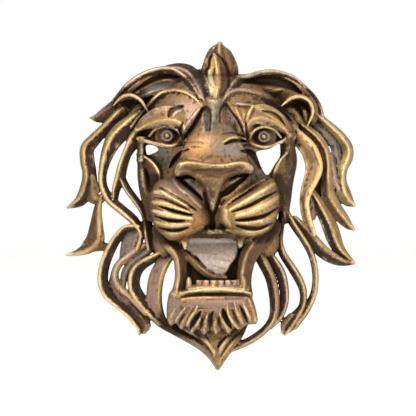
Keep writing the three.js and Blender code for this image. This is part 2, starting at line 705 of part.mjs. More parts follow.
function massBody([x, z, h, across, up, out, turn], [columns, rows] = MASS_FACETS) {
  const ball = new THREE.SphereGeometry(1, columns, rows);
  ball.rotateX(Math.PI / 2);
  ball.scale(across, up, out);
  ball.rotateZ(THREE.MathUtils.degToRad(turn));
  ball.translate(x, z, h);
  return solidOf(ball);
}

// A prism from an outline in the front view.
function plateBody({ outline, back, front }) {
  const shape = new THREE.Shape();
  shape.moveTo(outline.at(-1)[0], outline.at(-1)[1]);
  shape.splineThru(outline.map(([x, z]) => new THREE.Vector2(x, z)));
  const prism = new THREE.ExtrudeGeometry(shape, {
    depth: front - back,
    bevelEnabled: false,
    curveSegments: POINTS_PER_BEND,
  });
  prism.translate(0, 0, back);
  return solidOf(prism);
}

function openingBody(outline) {
  return plateBody({ outline, back: OPENING_BACK, front: OPENING_FRONT });
}

function whiskerGrooves() {
  const { half, deep } = WHISKER_GROOVE;
  return Object.entries(WHISKER_GROOVES).flatMap(([pad, grooves]) => {
    const onPad = ([x, z]) => [x, z, massFront(MASSES[pad], x, z), half, deep];
    return grooves.map((rows) => smallBarBody(rows.map(onPad)));
  });
}

function joined(bodies) {
  return wasm.Manifold.union(bodies);
}

function teethRow({ from, to, count, root, tip, h, bow, half, deep, tipHalf, tipDeep }) {
  return Array.from({ length: count }, (_, i) => {
    const share = i / (count - 1);
    const x = THREE.MathUtils.lerp(from, to, share);
    const set = h - bow * (2 * share - 1) ** 2;
    return smallBarBody([
      [x, root, set, half, deep],
      [x, tip, set, tipHalf, tipDeep],
    ]);
  });
}

function eyeball({ x, z }) {
  return massBody([x, z, EYE.h, EYE.radius, EYE.radius, EYE.radius, 0], EYEBALL_FACETS);
}

function eyeSocket({ x, z }) {
  return massBody([x, z, EYE.socketOut, EYE.socketAcross, EYE.socketUp, EYE.socketDepth, 0], SOCKET_FACETS);
}

function chinTufts() {
  const { count, from, to, top, bottom, spread, lean, h, half, deep, tipBack, tipHalf, tipDeep } = TUFTS;
  return Array.from({ length: count }, (_, i) => {
    const share = i / (count - 1);
    const x = THREE.MathUtils.lerp(from, to, share);
    const inward = (0.5 - share) * lean;
    const low = bottom + Math.abs(share - 0.5) * spread;
    return smallBarBody([
      [x, top, h, half, deep],
      [x + inward / 2, (top + low) / 2, h, half, deep],
      [x + inward, low, h - tipBack, tipHalf, tipDeep],
    ]);
  });
}

function skullBody() {
  const { x, z, h, across, up, out } = SKULL;
  return massBody([x, z, h, across, up, out, 0], SKULL_FACETS);
}

function crownPad() {
  const across = PAD_RADIUS / SCALE;
  const deep = PAD_THICKNESS / DEPTH_SCALE;
  const pad = new THREE.CylinderGeometry(across, across, deep, PAD_FACETS);
  pad.rotateX(Math.PI / 2);
  pad.translate(0, 0, deep / 2);
  return solidOf(pad);
}

// The scoop in the back. Its top edge stays below the pad, where a nail in the wall catches it.
function backHollow() {
  const across = HOLLOW_WIDTH / 2 / SCALE;
  const up = HOLLOW_HEIGHT / 2 / SCALE;
  const top = -(PAD_RADIUS + HOLLOW_BELOW_PAD) / SCALE;
  return massBody([SKULL.x, top - up, 0, across, up, HOLLOW_DEPTH / DEPTH_SCALE, 0], HOLLOW_FACETS);
}

function wallBlock() {
  const block = new THREE.BoxGeometry(4 * MASK_HEIGHT, 4 * MASK_HEIGHT, MASK_HEIGHT);
  block.translate(0, 0, -MASK_HEIGHT / 2);
  return solidOf(block);
}

// The outer skin alone, so that a pocket closed in under a lock is solid.
function outerShell(body) {
  return body.decompose().reduce((most, next) => (next.volume() > most.volume() ? next : most));
}

function headBody() {
  const face = joined([
    skullBody(),
    crownPad(),
    ...Object.values(PLATES).map(plateBody),
    ...Object.values(MASSES).map((mass) => massBody(mass)),
    ...Object.values(BARS).map((rows) => barBody(rows)),
    barBody(CHIN, CHIN_SIDES),
    ...chinTufts(),
  ]);
  const carved = face
    .subtract(joined(Object.values(EYES).map(eyeSocket)))
    .subtract(joined(Object.values(CUTS).map(smallBarBody)))
    .subtract(joined(whiskerGrooves()));
  const whole = joined([
    carved,
    ...Object.values(EYES).map(eyeball),
    ...Object.values(RIDGES).map(ridgeBody),
    ...Object.values(LOCKS).map(lockBody),
    ...teethRow(UPPER_TEETH),
    ...teethRow(LOWER_TEETH),
    ...Object.values(FANGS).map(smallBarBody),
  ]);
  const hollowed = whole
    .subtract(joined(Object.values(OPENINGS).map(openingBody)))
    .subtract(backHollow())
    .subtract(wallBlock());
  return outerShell(hollowed.simplify(SMALLEST_DETAIL));
}

// The finished body as a three.js geometry, each point put at its true place.
function geometryOf(body) {
  const { vertProperties, triVerts, numProp, numVert } = body.getMesh();
  const positions = new Float32Array(numVert * 3);
  for (let i = 0; i < numVert; i++) {
    const [x, z, h] = vertProperties.subarray(i * numProp, i * numProp + 3);
    placed({ x, z, h }).toArray(positions, i * 3);
  }
  const geometry = new THREE.BufferGeometry();
  geometry.setAttribute("position", new THREE.BufferAttribute(positions, 3));
  geometry.setIndex(new THREE.BufferAttribute(triVerts, 1));
  geometry.computeVertexNormals();
  return geometry;
}

const castBronze = new THREE.MeshStandardMaterial({ color: 0x7a5f3c, roughness: 0.45, metalness: 0.6 });
const mask = new THREE.Mesh(geometryOf(headBody()), castBronze);
mask.name = "lion_head_mask";

const part = new THREE.Group();
part.add(mask);

export default part;
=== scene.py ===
import math

import bmesh
import bpy
import numpy as np
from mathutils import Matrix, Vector


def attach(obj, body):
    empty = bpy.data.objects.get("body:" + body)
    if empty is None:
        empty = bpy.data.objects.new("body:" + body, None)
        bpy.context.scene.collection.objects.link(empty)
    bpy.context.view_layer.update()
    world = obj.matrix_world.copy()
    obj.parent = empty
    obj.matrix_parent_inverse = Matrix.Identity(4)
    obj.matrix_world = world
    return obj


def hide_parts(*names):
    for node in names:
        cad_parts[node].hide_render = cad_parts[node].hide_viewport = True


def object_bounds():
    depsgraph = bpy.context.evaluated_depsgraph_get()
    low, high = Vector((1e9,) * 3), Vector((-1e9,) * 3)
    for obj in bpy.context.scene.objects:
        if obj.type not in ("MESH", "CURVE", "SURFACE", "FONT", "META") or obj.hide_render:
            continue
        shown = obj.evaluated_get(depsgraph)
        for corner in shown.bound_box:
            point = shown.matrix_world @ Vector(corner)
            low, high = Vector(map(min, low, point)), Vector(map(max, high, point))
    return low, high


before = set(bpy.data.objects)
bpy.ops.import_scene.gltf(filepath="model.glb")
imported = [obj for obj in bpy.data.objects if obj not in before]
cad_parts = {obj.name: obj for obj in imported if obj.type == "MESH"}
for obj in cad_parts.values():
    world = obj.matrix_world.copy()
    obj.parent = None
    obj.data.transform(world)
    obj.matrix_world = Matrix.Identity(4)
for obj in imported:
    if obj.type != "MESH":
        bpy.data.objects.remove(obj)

cad_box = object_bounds()

# Lion head wall mask: the fine carving and the painted bronze finish over the plain casting.
# The carving is laid out as seen from the front, in millimetres of a mask drawn 207.8 high:
# x to the right, z up, h out of the wall. What stands proud is drawn in towards the eye line.

MASK_HEIGHT = 210.0
DRAWN_HEIGHT = 207.8
SCALE = MASK_HEIGHT / DRAWN_HEIGHT
VIEWING_DISTANCE = 700.0
EYE_LINE_X = -5.8
EYE_LINE_Z = -75.8
PICTURE_WIDTH = 269.9  # what the camera takes in at the wall
LOCK_THICKNESS = 9.0
FLUTE_DEPTH = 0.28
NARROW_HALF = 2.5  # a lock or ridge narrower than this is flatter too
PAD_RADIUS = 10.0
PAD_THICKNESS = 14.0
HOLLOW_WIDTH = 74.0
HOLLOW_HEIGHT = 80.0
HOLLOW_DEPTH = 42.0
HOLLOW_BELOW_PAD = 3.0

# The block that the mask is carved from, and the fineness of the carving
BLOCK_LOW = (-99.5, -182.0, -1.9)
BLOCK_HIGH = (91.5, 33.0, 75.0)
GRAIN = 0.62
MOST_TRIANGLES = 194000
EMPTY = 30.0  # distance given to a place far from any solid
SOFT_EDGE = 0.9  # rounding where a top meets a side
SHORTEST_EDGE = 0.02  # what is shorter on the skin is closed up

# Paints of the finish, as they look when dry: a dark ground, bronze and gold for the brush, and the
# greyer and redder tones that show through where less of either was left. Umber and dark also serve as
# painted shade, and brass and pale partly as painted highlights
PAINTS = {
    "umber": "#28160C",
    "dark": "#3A2513",
    "brown": "#563C25",
    "olive": "#6A5C33",
    "bronze": "#7F613D",
    "gold": "#A5824E",
    "brass": "#C2A56E",
    "pale": "#D8C294",
    "mauve": "#886E5B",
    "rose": "#A58A75",
    "grey": "#75695C",
    "slate": "#5C5347",
    "copper": "#AE7B45",
    "tooth": "#B18A66",
    "tongue": "#C6B3A8",
}

# Patterns of the finish: cloudy patches of the paint, pits of the cast surface, and the streaks of the
# brush along the hair. The pits are drawn about four times as coarse as real ones, to be seen at all
PATCH_SIZE = 11.1
PIT_SIZE = 1.11
STREAK_WIDTH = 0.694
STREAK_LENGTH = 8.93
NEXT_LOCK = 11.2  # how far the streaks of one lock lie from the next one's in their pattern
FACE_LAY = (0.35, 4.0)  # on the face the streaks are short dabs, 2 mm across and high

# Where the paint lies. A place belongs to the face or to a lock where it is this near to its front
ON_FACE = 1.8
FACE_FADE = (0.8, 4.5)
ON_LOCK = 2.2
LOCK_FIRST = 0.3  # how much nearer the face must be to win over a lock
LOCK_MARGIN = 1.1
RIM_SHARE = 0.3

# The dark wash in narrow creases and in wide hollows, which also stands in for their painted shade, by
# the reach of a look around, the share of solid where it starts and where it is full, and its strength;
# and painted shadow under what stands out beside a place, by the difference in height where it starts
# and is full
CREASES = dict(reach=0.9, start=0.54, full=0.74, strength=0.9)
HOLLOWS = dict(reach=3.2, start=0.56, full=0.8, strength=0.8)
OVERHANG = dict(reach=4.5, softness=2.0, start=3.5, full=13.0, on_face=0.35, on_hair=0.9)
# Painted shade where a place is not on the front of the face or of a lock; the share of the wash and
# painted shade kept between the jaws, and the share taken from the back
SHADE_ON_SIDES = 0.4
WASH_AND_SHADE_IN_MOUTH = 0.6
WASH_AND_SHADE_TAKEN_FROM_BACK = 0.75
BACK_SKIN = (0.8, 2.5)  # how far from its hindmost surface a place still counts as the back

# Rubbed edges, where less than this share of the look around is solid
EDGES = dict(reach=1.6, share=0.43, over=0.16, on_sides=0.2)

# The skull and the dome of the mane, which every lock lies on
SKULL = dict(x=-1.5, z=-32.0, h=11.0, across=50.0, up=44.0, out=38.0)
MANE = dict(x=-3.0, z=-70.0, across=95.0, up=112.0, rim=9.0, rise=29.0)

# Locks of the mane, root to tip: rows of (x, z, half width); lift over the ground at root, middle and
# tip; crest from -1 at the right of the way to 1 at its left; drop from crest to edge; paints of the
# outer side, of the crest and of the inner face, where a light crest is partly a painted highlight and a
# dark inner face partly painted shade; rim, the width of the crest's paint; fine flutes
LOCKS = {
    "crest_back": dict(
        path=[(1, -6, 6), (1, 4, 10.2), (1.8, 12, 12), (1.6, 20, 9.8), (1.5, 26, 6.5),
              (1.8, 29.2, 2)],
        lift=(2, 0, 0), crest=0, drop=2, paints=("brown", "bronze", "brown"), rim=6, flutes=3),
    "crest_petal": dict(
        path=[(-1, -7, 3.5), (0.5, 3, 6), (0.5, 10, 6.5), (-0.5, 17, 4.4), (-2, 23, 0.8)],
        lift=(3, 5, 3), crest=0, drop=3, paints=("brown", "gold", "gold"), rim=5, flutes=2),
    "crown_left_1": dict(
        path=[(-8, -5, 2.5), (-12, 5, 3.7), (-17, 11.8, 3.7), (-24, 14.9, 2.4), (-32, 15, 1.1)],
        lift=(3, 3, 1), crest=0.4, drop=2, paints=("dark", "mauve", "umber"), rim=2.4),
    "crown_left_2": dict(
        path=[(-12, -5, 2), (-20, 5, 3.5), (-28, 10.9, 3.5), (-36, 12.2, 2.9), (-46, 9.1, 3.1),
              (-56, 2.6, 3), (-66.5, -7, 1.2)],
        lift=(3, 1, 1), crest=-0.6, drop=2.5, paints=("umber", "rose", "umber"), rim=2.2),
    "crown_left_3": dict(
        path=[(-20, 3, 3), (-32, 6.6, 3), (-42, 4.6, 3), (-57, -3, 1)],
        lift=(-1, -3, -3), crest=0, drop=2, paints=("dark", "olive", "brown"), rim=3),
    "crown_left_4": dict(
        path=[(-14, -2, 2), (-23, 1.5, 3), (-33, 1.6, 3), (-43, -1, 3), (-51, -5, 2)],
        lift=(1, 0, 0), crest=0.2, drop=2, paints=("mauve", "grey", "slate"), rim=3),
    "left_brow_lock": dict(
        path=[(-12, -9, 1.5), (-18, -4.5, 2.5), (-25, -2, 2.8), (-32, -2.5, 3), (-38, -6, 3.2),
              (-48, -17.5, 3), (-54, -24, 2)],
        lift=(1, 3, 3), crest=-0.6, drop=3.2, paints=("bronze", "brass", "umber"), rim=1.9),
    "left_spike": dict(
        path=[(-58, -4, 3), (-65, -11, 4.8), (-70.5, -15, 4.6), (-76, -17.8, 3.4), (-81, -18, 0.8)],
        lift=(0, 0, -1), crest=-0.5, drop=2.5, paints=("slate", "brown", "dark"), rim=2.5),
    "left_long": dict(
        path=[(-50, -16, 3.5), (-59.5, -25, 5.8), (-66, -32, 5.6), (-70, -40, 4.4),
              (-72.4, -48, 3.3), (-73.6, -56, 2.7), (-72.6, -63, 2.7), (-68.7, -70.3, 3.1),
              (-61.3, -76.7, 3.1), (-52.8, -84.3, 3), (-48.3, -92.5, 2), (-51, -102, 1.2)],
        lift=(3, 4, 3), crest=-0.4, drop=3, paints=("olive", "brass", "umber"), rim=2.4),
    "left_inner": dict(
        path=[(-48, -26, 4.5), (-53, -32.5, 4.5), (-57.8, -41, 3.2), (-60.9, -50, 3.4),
              (-62.4, -57, 3.6), (-64.8, -64, 2.8), (-65.5, -71, 1.9)],
        lift=(3, 2, 1), crest=-0.6, drop=3, paints=("gold", "brass", "dark"), rim=1.8),
    "left_cheek_lock": dict(
        path=[(-60.5, -57.5, 2.2), (-56.8, -64.6, 2.4), (-47.6, -77.3, 2.5), (-44.6, -85, 3),
              (-44, -93, 3), (-43, -101, 2.5)],
        lift=(1, 4, 4), crest=-0.6, drop=3, paints=("dark", "bronze", "umber"), rim=1.4),
    "left_outer": dict(
        path=[(-61.5, -14.5, 4), (-72, -25, 3.6), (-79, -32.2, 4.2), (-83.4, -38, 4.6),
              (-83.2, -46, 4.7),
              (-82, -53, 4.6), (-82.5, -61, 5), (-87.4, -70.7, 3.9), (-96, -75.6, 0.8)],
        lift=(0, 2, 1), crest=-0.45, drop=3, paints=("olive", "gold", "umber"), rim=2.4),
    "left_outer_foot": dict(
        path=[(-80.5, -57, 3), (-80, -65, 5), (-79, -69.3, 4), (-74, -70.5, 2)],
        lift=(0, 0, 0), crest=0, drop=2, paints=("brown", "bronze", "bronze"), rim=3),
    "left_tail": dict(
        path=[(-75.2, -69, 1.8), (-76.9, -79, 3), (-77.5, -89, 4.7), (-78.5, -96.5, 6),
              (-84, -101.8, 3.9), (-90, -104.6, 2), (-96.6, -106, 0.7)],
        lift=(1, 2, 1), crest=0.3, drop=3, paints=("brown", "gold", "brown"), rim=4),
    "left_tail_foot": dict(
        path=[(-82, -99.5, 4.5), (-76, -100, 3.6), (-70, -101, 2.2)],
        lift=(0, 0, 0), crest=0, drop=2, paints=("brown", "brown", "brown"), rim=3),
    "left_curl": dict(
        path=[(-46, -86, 2.5), (-52, -91, 4.7), (-55, -98, 6), (-57.6, -104, 5), (-60, -109, 3)],
        lift=(0, 0, 0), crest=0.3, drop=2, paints=("mauve", "mauve", "grey"), rim=4),
    "left_low_1": dict(
        path=[(-51, -88.8, 2.2), (-58.5, -89, 2.4), (-63.7, -94.5, 3), (-68.6, -103, 3.3),
              (-72.3, -113, 3.4), (-73.3, -123, 3.5), (-70.3, -131.5, 3.2), (-63.5, -138, 2.8),
              (-55.5, -145, 2.8), (-50, -152, 2.6), (-50, -157, 0.9)],
        lift=(3, 2, 2), crest=-0.6, drop=3, paints=("gold", "brass", "umber"), rim=2.2),
    "left_low_fill": dict(
        path=[(-66.5, -117, 1.4), (-67, -124, 2.2), (-62.5, -132, 3), (-55, -139.5, 3.2),
              (-48.5, -146.5, 3)],
        lift=(-2, -2, -2), crest=0, drop=1.5, paints=("mauve", "mauve", "mauve"), rim=3),
    "left_low_foot": dict(
        path=[(-55, -139, 2.5), (-49, -146, 4), (-46, -151, 3.6), (-47, -155, 2)],
        lift=(-1, 0, 0), crest=0, drop=2, paints=("brown", "brown", "dark"), rim=3),
    "left_low_2": dict(
        path=[(-47, -100, 2), (-56, -106, 2.1), (-63, -112, 2.4), (-65.6, -119, 2.5),
              (-63, -126.5, 2.4),
              (-56, -132.5, 2.3), (-46, -143, 2)],
        lift=(1, 1, 1), crest=-0.2, drop=2, paints=("mauve", "rose", "bronze"), rim=2.2),
    "left_low_3": dict(
        path=[(-40, -100.5, 2), (-49, -107, 2.6), (-56, -112.5, 2.6), (-59.5, -119, 2.4),
              (-60.5, -128, 1.7)],
        lift=(1, 0, -1), crest=0, drop=2, paints=("grey", "grey", "slate"), rim=3),
    "left_low_4": dict(
        path=[(-30, -103, 2), (-46, -111, 3.2), (-52, -117, 3.9), (-53.4, -125, 4), (-51.2, -131, 4),
              (-45.6, -138.5, 3.8), (-41, -144, 3)],
        lift=(3, 2, 2), crest=-0.6, drop=3, paints=("gold", "brass", "umber"), rim=1.8),
    "left_low_5": dict(
        path=[(-28.5, -104.5, 2.6), (-35, -112, 4.2), (-38.7, -120, 4.9), (-40.2, -129, 5),
              (-39.9, -138, 4.9), (-35.5, -147.5, 3), (-31, -152, 2.4)],
        lift=(2, 2, 2), crest=0.5, drop=2.4, paints=("gold", "gold", "mauve"), rim=1.8),
    "goatee_left": dict(
        path=[(-46, -141, 2), (-37, -148.6, 3.1), (-28, -153.6, 3.4), (-19, -158.3, 3.6),
              (-10, -163.9, 3.5), (-3.5, -171, 2.5), (0, -179.4, 0.8)],
        lift=(1, 3, 3), crest=-0.3, drop=2.6, paints=("bronze", "grey", "brown"), rim=2.6),
    "goatee_right": dict(
        path=[(16.3, -150.5, 3.4), (13.2, -156.5, 3.8), (8.6, -163, 3.6), (4.4, -170.2, 3.1),
              (0.9, -179.2, 0.9)],
        lift=(2, 3, 3), crest=0.4, drop=2.8, paints=("gold", "bronze", "gold"), rim=2.4),
    "goatee_inner_left": dict(
        path=[(-17, -149, 2.4), (-10, -157, 2.4), (-4, -164.5, 2.4), (0, -172, 1.4)],
        lift=(8, 5, 3), crest=0, drop=2, paints=("brown", "brass", "brown"), rim=1.4),
    "goatee_inner_right": dict(
        path=[(16, -148, 2.4), (10, -155.5, 2.4), (4, -163.5, 2.4), (0.5, -172, 1.4)],
        lift=(8, 5, 3), crest=0, drop=2, paints=("gold", "brass", "gold"), rim=1.6),
    "right_low_1": dict(
        path=[(24.4, -101, 3.6), (29.6, -111, 3.5), (34, -120, 3.4), (36.2, -129, 3.4), (37, -138, 3.2),
              (36, -146, 2.8), (31.5, -153, 2.4), (24.5, -158.8, 2.5), (17.5, -162.6, 2.4),
              (10, -166, 2.2)],
        lift=(2, 2, 3), crest=0.3, drop=2.6, paints=("mauve", "bronze", "dark"), rim=2),
    "right_low_2": dict(
        path=[(28.2, -99.8, 2.2), (35, -108, 2.8), (40.3, -116.5, 3.2), (42.7, -125, 3.1),
              (43.3, -135, 2.9), (40.5, -144.5, 2.5), (34, -152, 2)],
        lift=(0, 1, 1), crest=0.5, drop=2.5, paints=("slate", "mauve", "dark"), rim=2),
    "right_low_3": dict(
        path=[(41.6, -79, 2.2), (40.8, -88, 2.3), (40.2, -96.8, 2.2), (42, -104.8, 2.5),
              (47.2, -113, 2.7), (52, -120.8, 2.8), (55, -128, 2.5), (55.4, -134, 2.3), (54, -140, 2.4),
              (49, -147.5, 4), (45.5, -153, 3.4), (43.6, -157, 1)],
        lift=(1, 2, 2), crest=0.4, drop=3, paints=("olive", "gold", "umber"), rim=2.4),
    "right_low_foot": dict(
        path=[(47.6, -146, 2.8), (44.2, -150.5, 3.3), (42.6, -155, 1.8)],
        lift=(0, 0, 0), crest=0, drop=2, paints=("brown", "bronze", "dark"), rim=3),
    "right_low_4": dict(
        path=[(43.8, -77.6, 2.2), (49.2, -87, 2.3), (55.5, -96.4, 2.2), (60.6, -106, 2.2),
              (63.1, -118, 2.1), (62.2, -130, 2.2), (57.2, -141, 2.6), (49.5, -151.5, 2.6)],
        lift=(2, 2, 2), crest=0.4, drop=2.5, paints=("brown", "gold", "umber"), rim=1.8),
    "right_broad": dict(
        path=[(45, -24, 4.2), (57.2, -36, 5.3), (61, -43, 5.6), (62.4, -50, 5.7), (60.6, -57, 5),
              (57.8, -64, 4), (56.2, -72, 3.2), (57.4, -81, 3), (61.5, -92.5, 2.2)],
        lift=(3, 4, 3), crest=0.6, drop=2.2, paints=("gold", "brass", "bronze"), rim=4.5, flutes=2),
    "right_second": dict(
        path=[(56, -24, 2.6), (64, -31, 3.4), (69, -39, 3.3), (70.7, -48, 3.1), (70.6, -58, 3.9),
              (71.3, -67, 4.7), (75.3, -75.6, 4.8), (80.6, -82.3, 4), (84.6, -87, 2.7),
              (88.2, -89.6, 0.9)],
        lift=(2, 1, 1), crest=0.3, drop=3, paints=("mauve", "gold", "brown"), rim=3, flutes=2),
    "right_shadow": dict(
        path=[(66, -52, 2), (64.5, -60, 3.2), (63.5, -68, 3.4), (65, -76, 2.6)],
        lift=(-4, -4, -4), crest=0, drop=1, paints=("umber", "umber", "umber"), rim=3),
    "right_web": dict(
        path=[(60, -70, 2.4), (61.8, -77, 2.6), (61.8, -82, 1.6)],
        lift=(-2, -2, -2), crest=0, drop=1, paints=("mauve", "mauve", "mauve"), rim=3),
    "right_narrow": dict(
        path=[(73, -42, 1.6), (74.7, -51, 2), (76.3, -59, 2.3), (82, -70, 1.3)],
        lift=(-1, 0, -1), crest=0, drop=1.5, paints=("mauve", "rose", "mauve"), rim=2),
    "right_outer": dict(
        path=[(63, -15, 2), (71, -22.3, 2.8), (78.5, -29.2, 3.3), (83.4, -36.5, 3.7),
              (83.7, -43.5, 3.6), (80.8, -50.5, 3.2), (80, -58, 3.2), (81, -66, 4.9),
              (84.5, -71.4, 3.7), (88.3, -74.2, 1)],
        lift=(1, 1, 1), crest=0.2, drop=3, paints=("mauve", "brass", "olive"), rim=2.4),
    "right_sunk": dict(
        path=[(60, -20, 2), (69, -27, 3), (75.3, -35, 3.3), (77.5, -44, 3), (79, -54, 2)],
        lift=(-2, -3, -2), crest=0, drop=1.5, paints=("grey", "grey", "grey"), rim=3),
    "right_tip": dict(
        path=[(59, -63, 2.4), (64.6, -72, 3.6), (68.8, -80, 4.4), (72.6, -88, 5), (75, -95, 4.9),
              (78, -101.5, 3.9), (82.5, -106.5, 2.6), (87.8, -110.4, 0.9)],
        lift=(0, 1, 1), crest=0.2, drop=3, paints=("bronze", "gold", "umber"), rim=4, flutes=2),
    "right_crescent": dict(
        path=[(50, -82.6, 2), (57, -90.6, 3), (62.3, -97.2, 4), (67.8, -103.7, 4.3),
              (74.5, -108.1, 3.8), (81, -110.6, 2.5), (88, -111.3, 0.9)],
        lift=(1, 2, 1), crest=0.4, drop=2.5, paints=("gold", "bronze", "umber"), rim=2),
    "crown_right_1": dict(
        path=[(7, -3, 2.2), (13.5, 5.3, 4), (20, 7.8, 2.6), (29, 10.6, 2.2), (38, 11.2, 1.8),
              (48, 7.9, 1.9), (54.6, 2.4, 2), (61, -3.9, 2), (65.4, -10.8, 1.8), (67.8, -19, 1.5)],
        lift=(3, 2, 1), crest=0.5, drop=2.5, paints=("dark", "mauve", "umber"), rim=2.2),
    "crown_right_2": dict(
        path=[(24, -4, 1.6), (43, -0.8, 2.8), (52, -1.6, 2.8), (63, -8, 1.8)],
        lift=(-1, -2, -2), crest=0.7, drop=2, paints=("dark", "olive", "dark"), rim=1.2),
    "crown_right_3": dict(
        path=[(4, -8, 2), (9, -2.3, 2.3), (15, -0.3, 1.7), (24, -1.8, 1.6), (32, -5, 2), (45, -17, 2.6),
              (50, -24, 2.5)],
        lift=(3, 4, 3), crest=0.5, drop=2.6, paints=("grey", "mauve", "brown"), rim=1.8),
    "crown_right_4": dict(
        path=[(13, -9.5, 1.6), (21, -10.7, 1.9), (36, -12.4, 1.8), (41.5, -16.5, 1.8), (47, -25, 1.7)],
        lift=(2, 3, 3), crest=0.5, drop=2.5, paints=("mauve", "rose", "brown"), rim=1.6),
}

# Rounded masses of the face: middle x, z, h, half sizes across, up and out, a turn in degrees,
# and how softly it runs into what is there
MASSES = {
    "muzzle": (-2, -66, 24, 42, 31, 32, 0, 5),
    "muzzle_top": (-2, -63, 36, 29, 17, 25, 0, 5),
    "throat": (-3, -112, 19, 24.5, 24, 13, 0, 3),
    "jowl_left": (-34, -96, 24, 9, 13, 15, 0, 3),
    "jowl_right": (32, -95, 24, 9, 13, 15, 0, 3),
}

# Ridges of the face: rows of (x, z, half width, h of the crest), crest and drop as for the locks,
# deep down to its underside, and how softly it runs into what is there
RIDGES = {
    "brow_left": dict(
        path=[(-51, -25, 2, 34), (-45.5, -21, 4.6, 39), (-37.5, -17.8, 6.6, 43.5),
              (-29.5, -17, 7, 46.5),
              (-22.5, -20, 4.6, 48), (-18.5, -27, 3, 49)],
        crest=-0.35, drop=3.4, deep=12, blend=2.4, paints=("mauve", "gold", "bronze"), rim=3.4),
    "brow_right": dict(
        path=[(49, -29.5, 2, 33), (42.5, -23, 4.6, 39), (34.5, -17.6, 6.4, 43.5),
              (26.5, -15.8, 6.6, 46.5),
              (20, -19.5, 4.6, 48), (16, -27, 3, 49)],
        crest=0.3, drop=3.4, deep=12, blend=2.4, paints=("mauve", "gold", "bronze"), rim=3.4),
    "brow_fold_right": dict(
        path=[(16.5, -27, 0.6, 46), (18.5, -21, 1.1, 48), (20.5, -15, 1.2, 48), (23, -10.5, 0.8, 45)],
        crest=0, drop=1, deep=8, blend=1.2, paints=("bronze", "gold", "brown"), rim=1.4),
    # The upper lids are painted dark, as painted shade under the brows
    "lid_left": dict(
        path=[(-43.5, -29.6, 0.7, 38), (-39, -25.2, 1, 42), (-32, -23.4, 1.1, 44.5),
              (-25.5, -25.8, 1, 46),
              (-22, -31, 0.7, 46)],
        crest=-0.2, drop=1.2, deep=9, blend=0.8, paints=("dark", "brown", "dark"), rim=0.8),
    "lid_right": dict(
        path=[(20.5, -31.5, 0.7, 46), (24, -26, 1, 46), (30, -23.6, 1.1, 44.5), (36.5, -25.6, 1, 42),
              (41, -30.5, 0.7, 38)],
        crest=-0.2, drop=1.2, deep=9, blend=0.8, paints=("dark", "bronze", "dark"), rim=0.8),
    "low_lid_left": dict(
        path=[(-51, -31.4, 0.9, 33), (-44, -33.4, 1.3, 37), (-36, -35.4, 1.3, 42),
              (-29, -36, 1.1, 44.5),
              (-22, -33.5, 0.8, 46)],
        crest=0.2, drop=1.4, deep=9, blend=1, paints=("brown", "gold", "mauve"), rim=0.9),
    "low_lid_right": dict(
        path=[(19.5, -33.5, 0.8, 46), (27, -36.4, 1.1, 44.5), (34, -36.4, 1.3, 42),
              (41, -33.4, 1.3, 37),
              (47, -29.5, 0.9, 33)],
        crest=0.2, drop=1.4, deep=9, blend=1, paints=("brown", "gold", "mauve"), rim=0.9),
    "fin_left": dict(
        path=[(-50.8, -41.2, 1, 31), (-47, -44.6, 2.4, 36), (-42.8, -48.8, 3.3, 40),
              (-39.8, -54.5, 3.6, 43.5),
              (-39.5, -63, 3.4, 46)],
        crest=0.75, drop=3.4, deep=16, blend=1, paints=("dark", "brass", "brown"), rim=1),
    "fin_right": dict(
        path=[(48, -38.8, 1, 31), (44.5, -43.5, 2.6, 36), (40.8, -50, 3.6, 40), (39.2, -57.5, 4, 43.5),
              (40.3, -68, 4, 45)],
        crest=-0.75, drop=3.4, deep=16, blend=1, paints=("dark", "gold", "olive"), rim=1.4),
    "jaw_left": dict(
        path=[(-36, -90, 5.5, 44), (-31, -97, 5.2, 43), (-25.4, -104.5, 4.4, 42),
              (-23.4, -112, 4, 42.5),
              (-23.2, -121, 4, 43.5), (-24.4, -129.5, 4.6, 44.5)],
        crest=-0.35, drop=4, deep=18, blend=1.5, paints=("mauve", "gold", "brown"), rim=2.4),
    "jaw_right": dict(
        path=[(35, -88, 6, 44), (27.6, -96, 6.8, 43.5), (20.6, -106, 5.6, 42.5), (18, -116, 4.9, 43),
              (17.4, -124, 4.7, 44), (17.8, -130.5, 5, 44.5)],
        crest=-0.3, drop=4, deep=18, blend=1.5, paints=("brown", "bronze", "brown"), rim=3),
    "lip": dict(
        path=[(-24, -131, 0.8, 44), (-18, -129.7, 1.1, 46.5), (-8, -128.9, 1.3, 48),
              (6, -128.9, 1.3, 48),
              (16, -129.5, 1.2, 46.5), (21.5, -130.6, 0.8, 44)],
        crest=0.3, drop=1.2, deep=12, blend=1, paints=("bronze", "brass", "brown"), rim=1),
    "tongue_edge": dict(
        path=[(-22, -103.6, 1.4, 37.5), (-16.6, -109, 2.4, 38), (-10.4, -115, 2.6, 38.5),
              (-3, -120, 2.4, 39),
              (5, -120.6, 1.6, 39)],
        crest=0.2, drop=1.6, deep=14, blend=1.4, paints=("brown", "bronze", "bronze"), rim=3),
    "ear_left": dict(
        path=[(-66.5, -10, 0.4, 20), (-61, -4.7, 1.2, 27), (-55, -3.5, 1.2, 30), (-49, -6.7, 1.1, 32),
              (-44.6, -13.5, 0.4, 32)],
        crest=0, drop=1.4, deep=14, blend=0.8, paints=("brown", "gold", "dark"), rim=1),
    "ear_right": dict(
        path=[(41, -10.6, 0.4, 32), (47.3, -5.6, 1.2, 32), (54, -4.4, 1.3, 30), (59.6, -8, 1.3, 28),
              (61.3, -15, 1.2, 27), (57.8, -23.6, 0.4, 26)],
        crest=0, drop=1.4, deep=14, blend=0.8, paints=("brown", "gold", "gold"), rim=1),
}

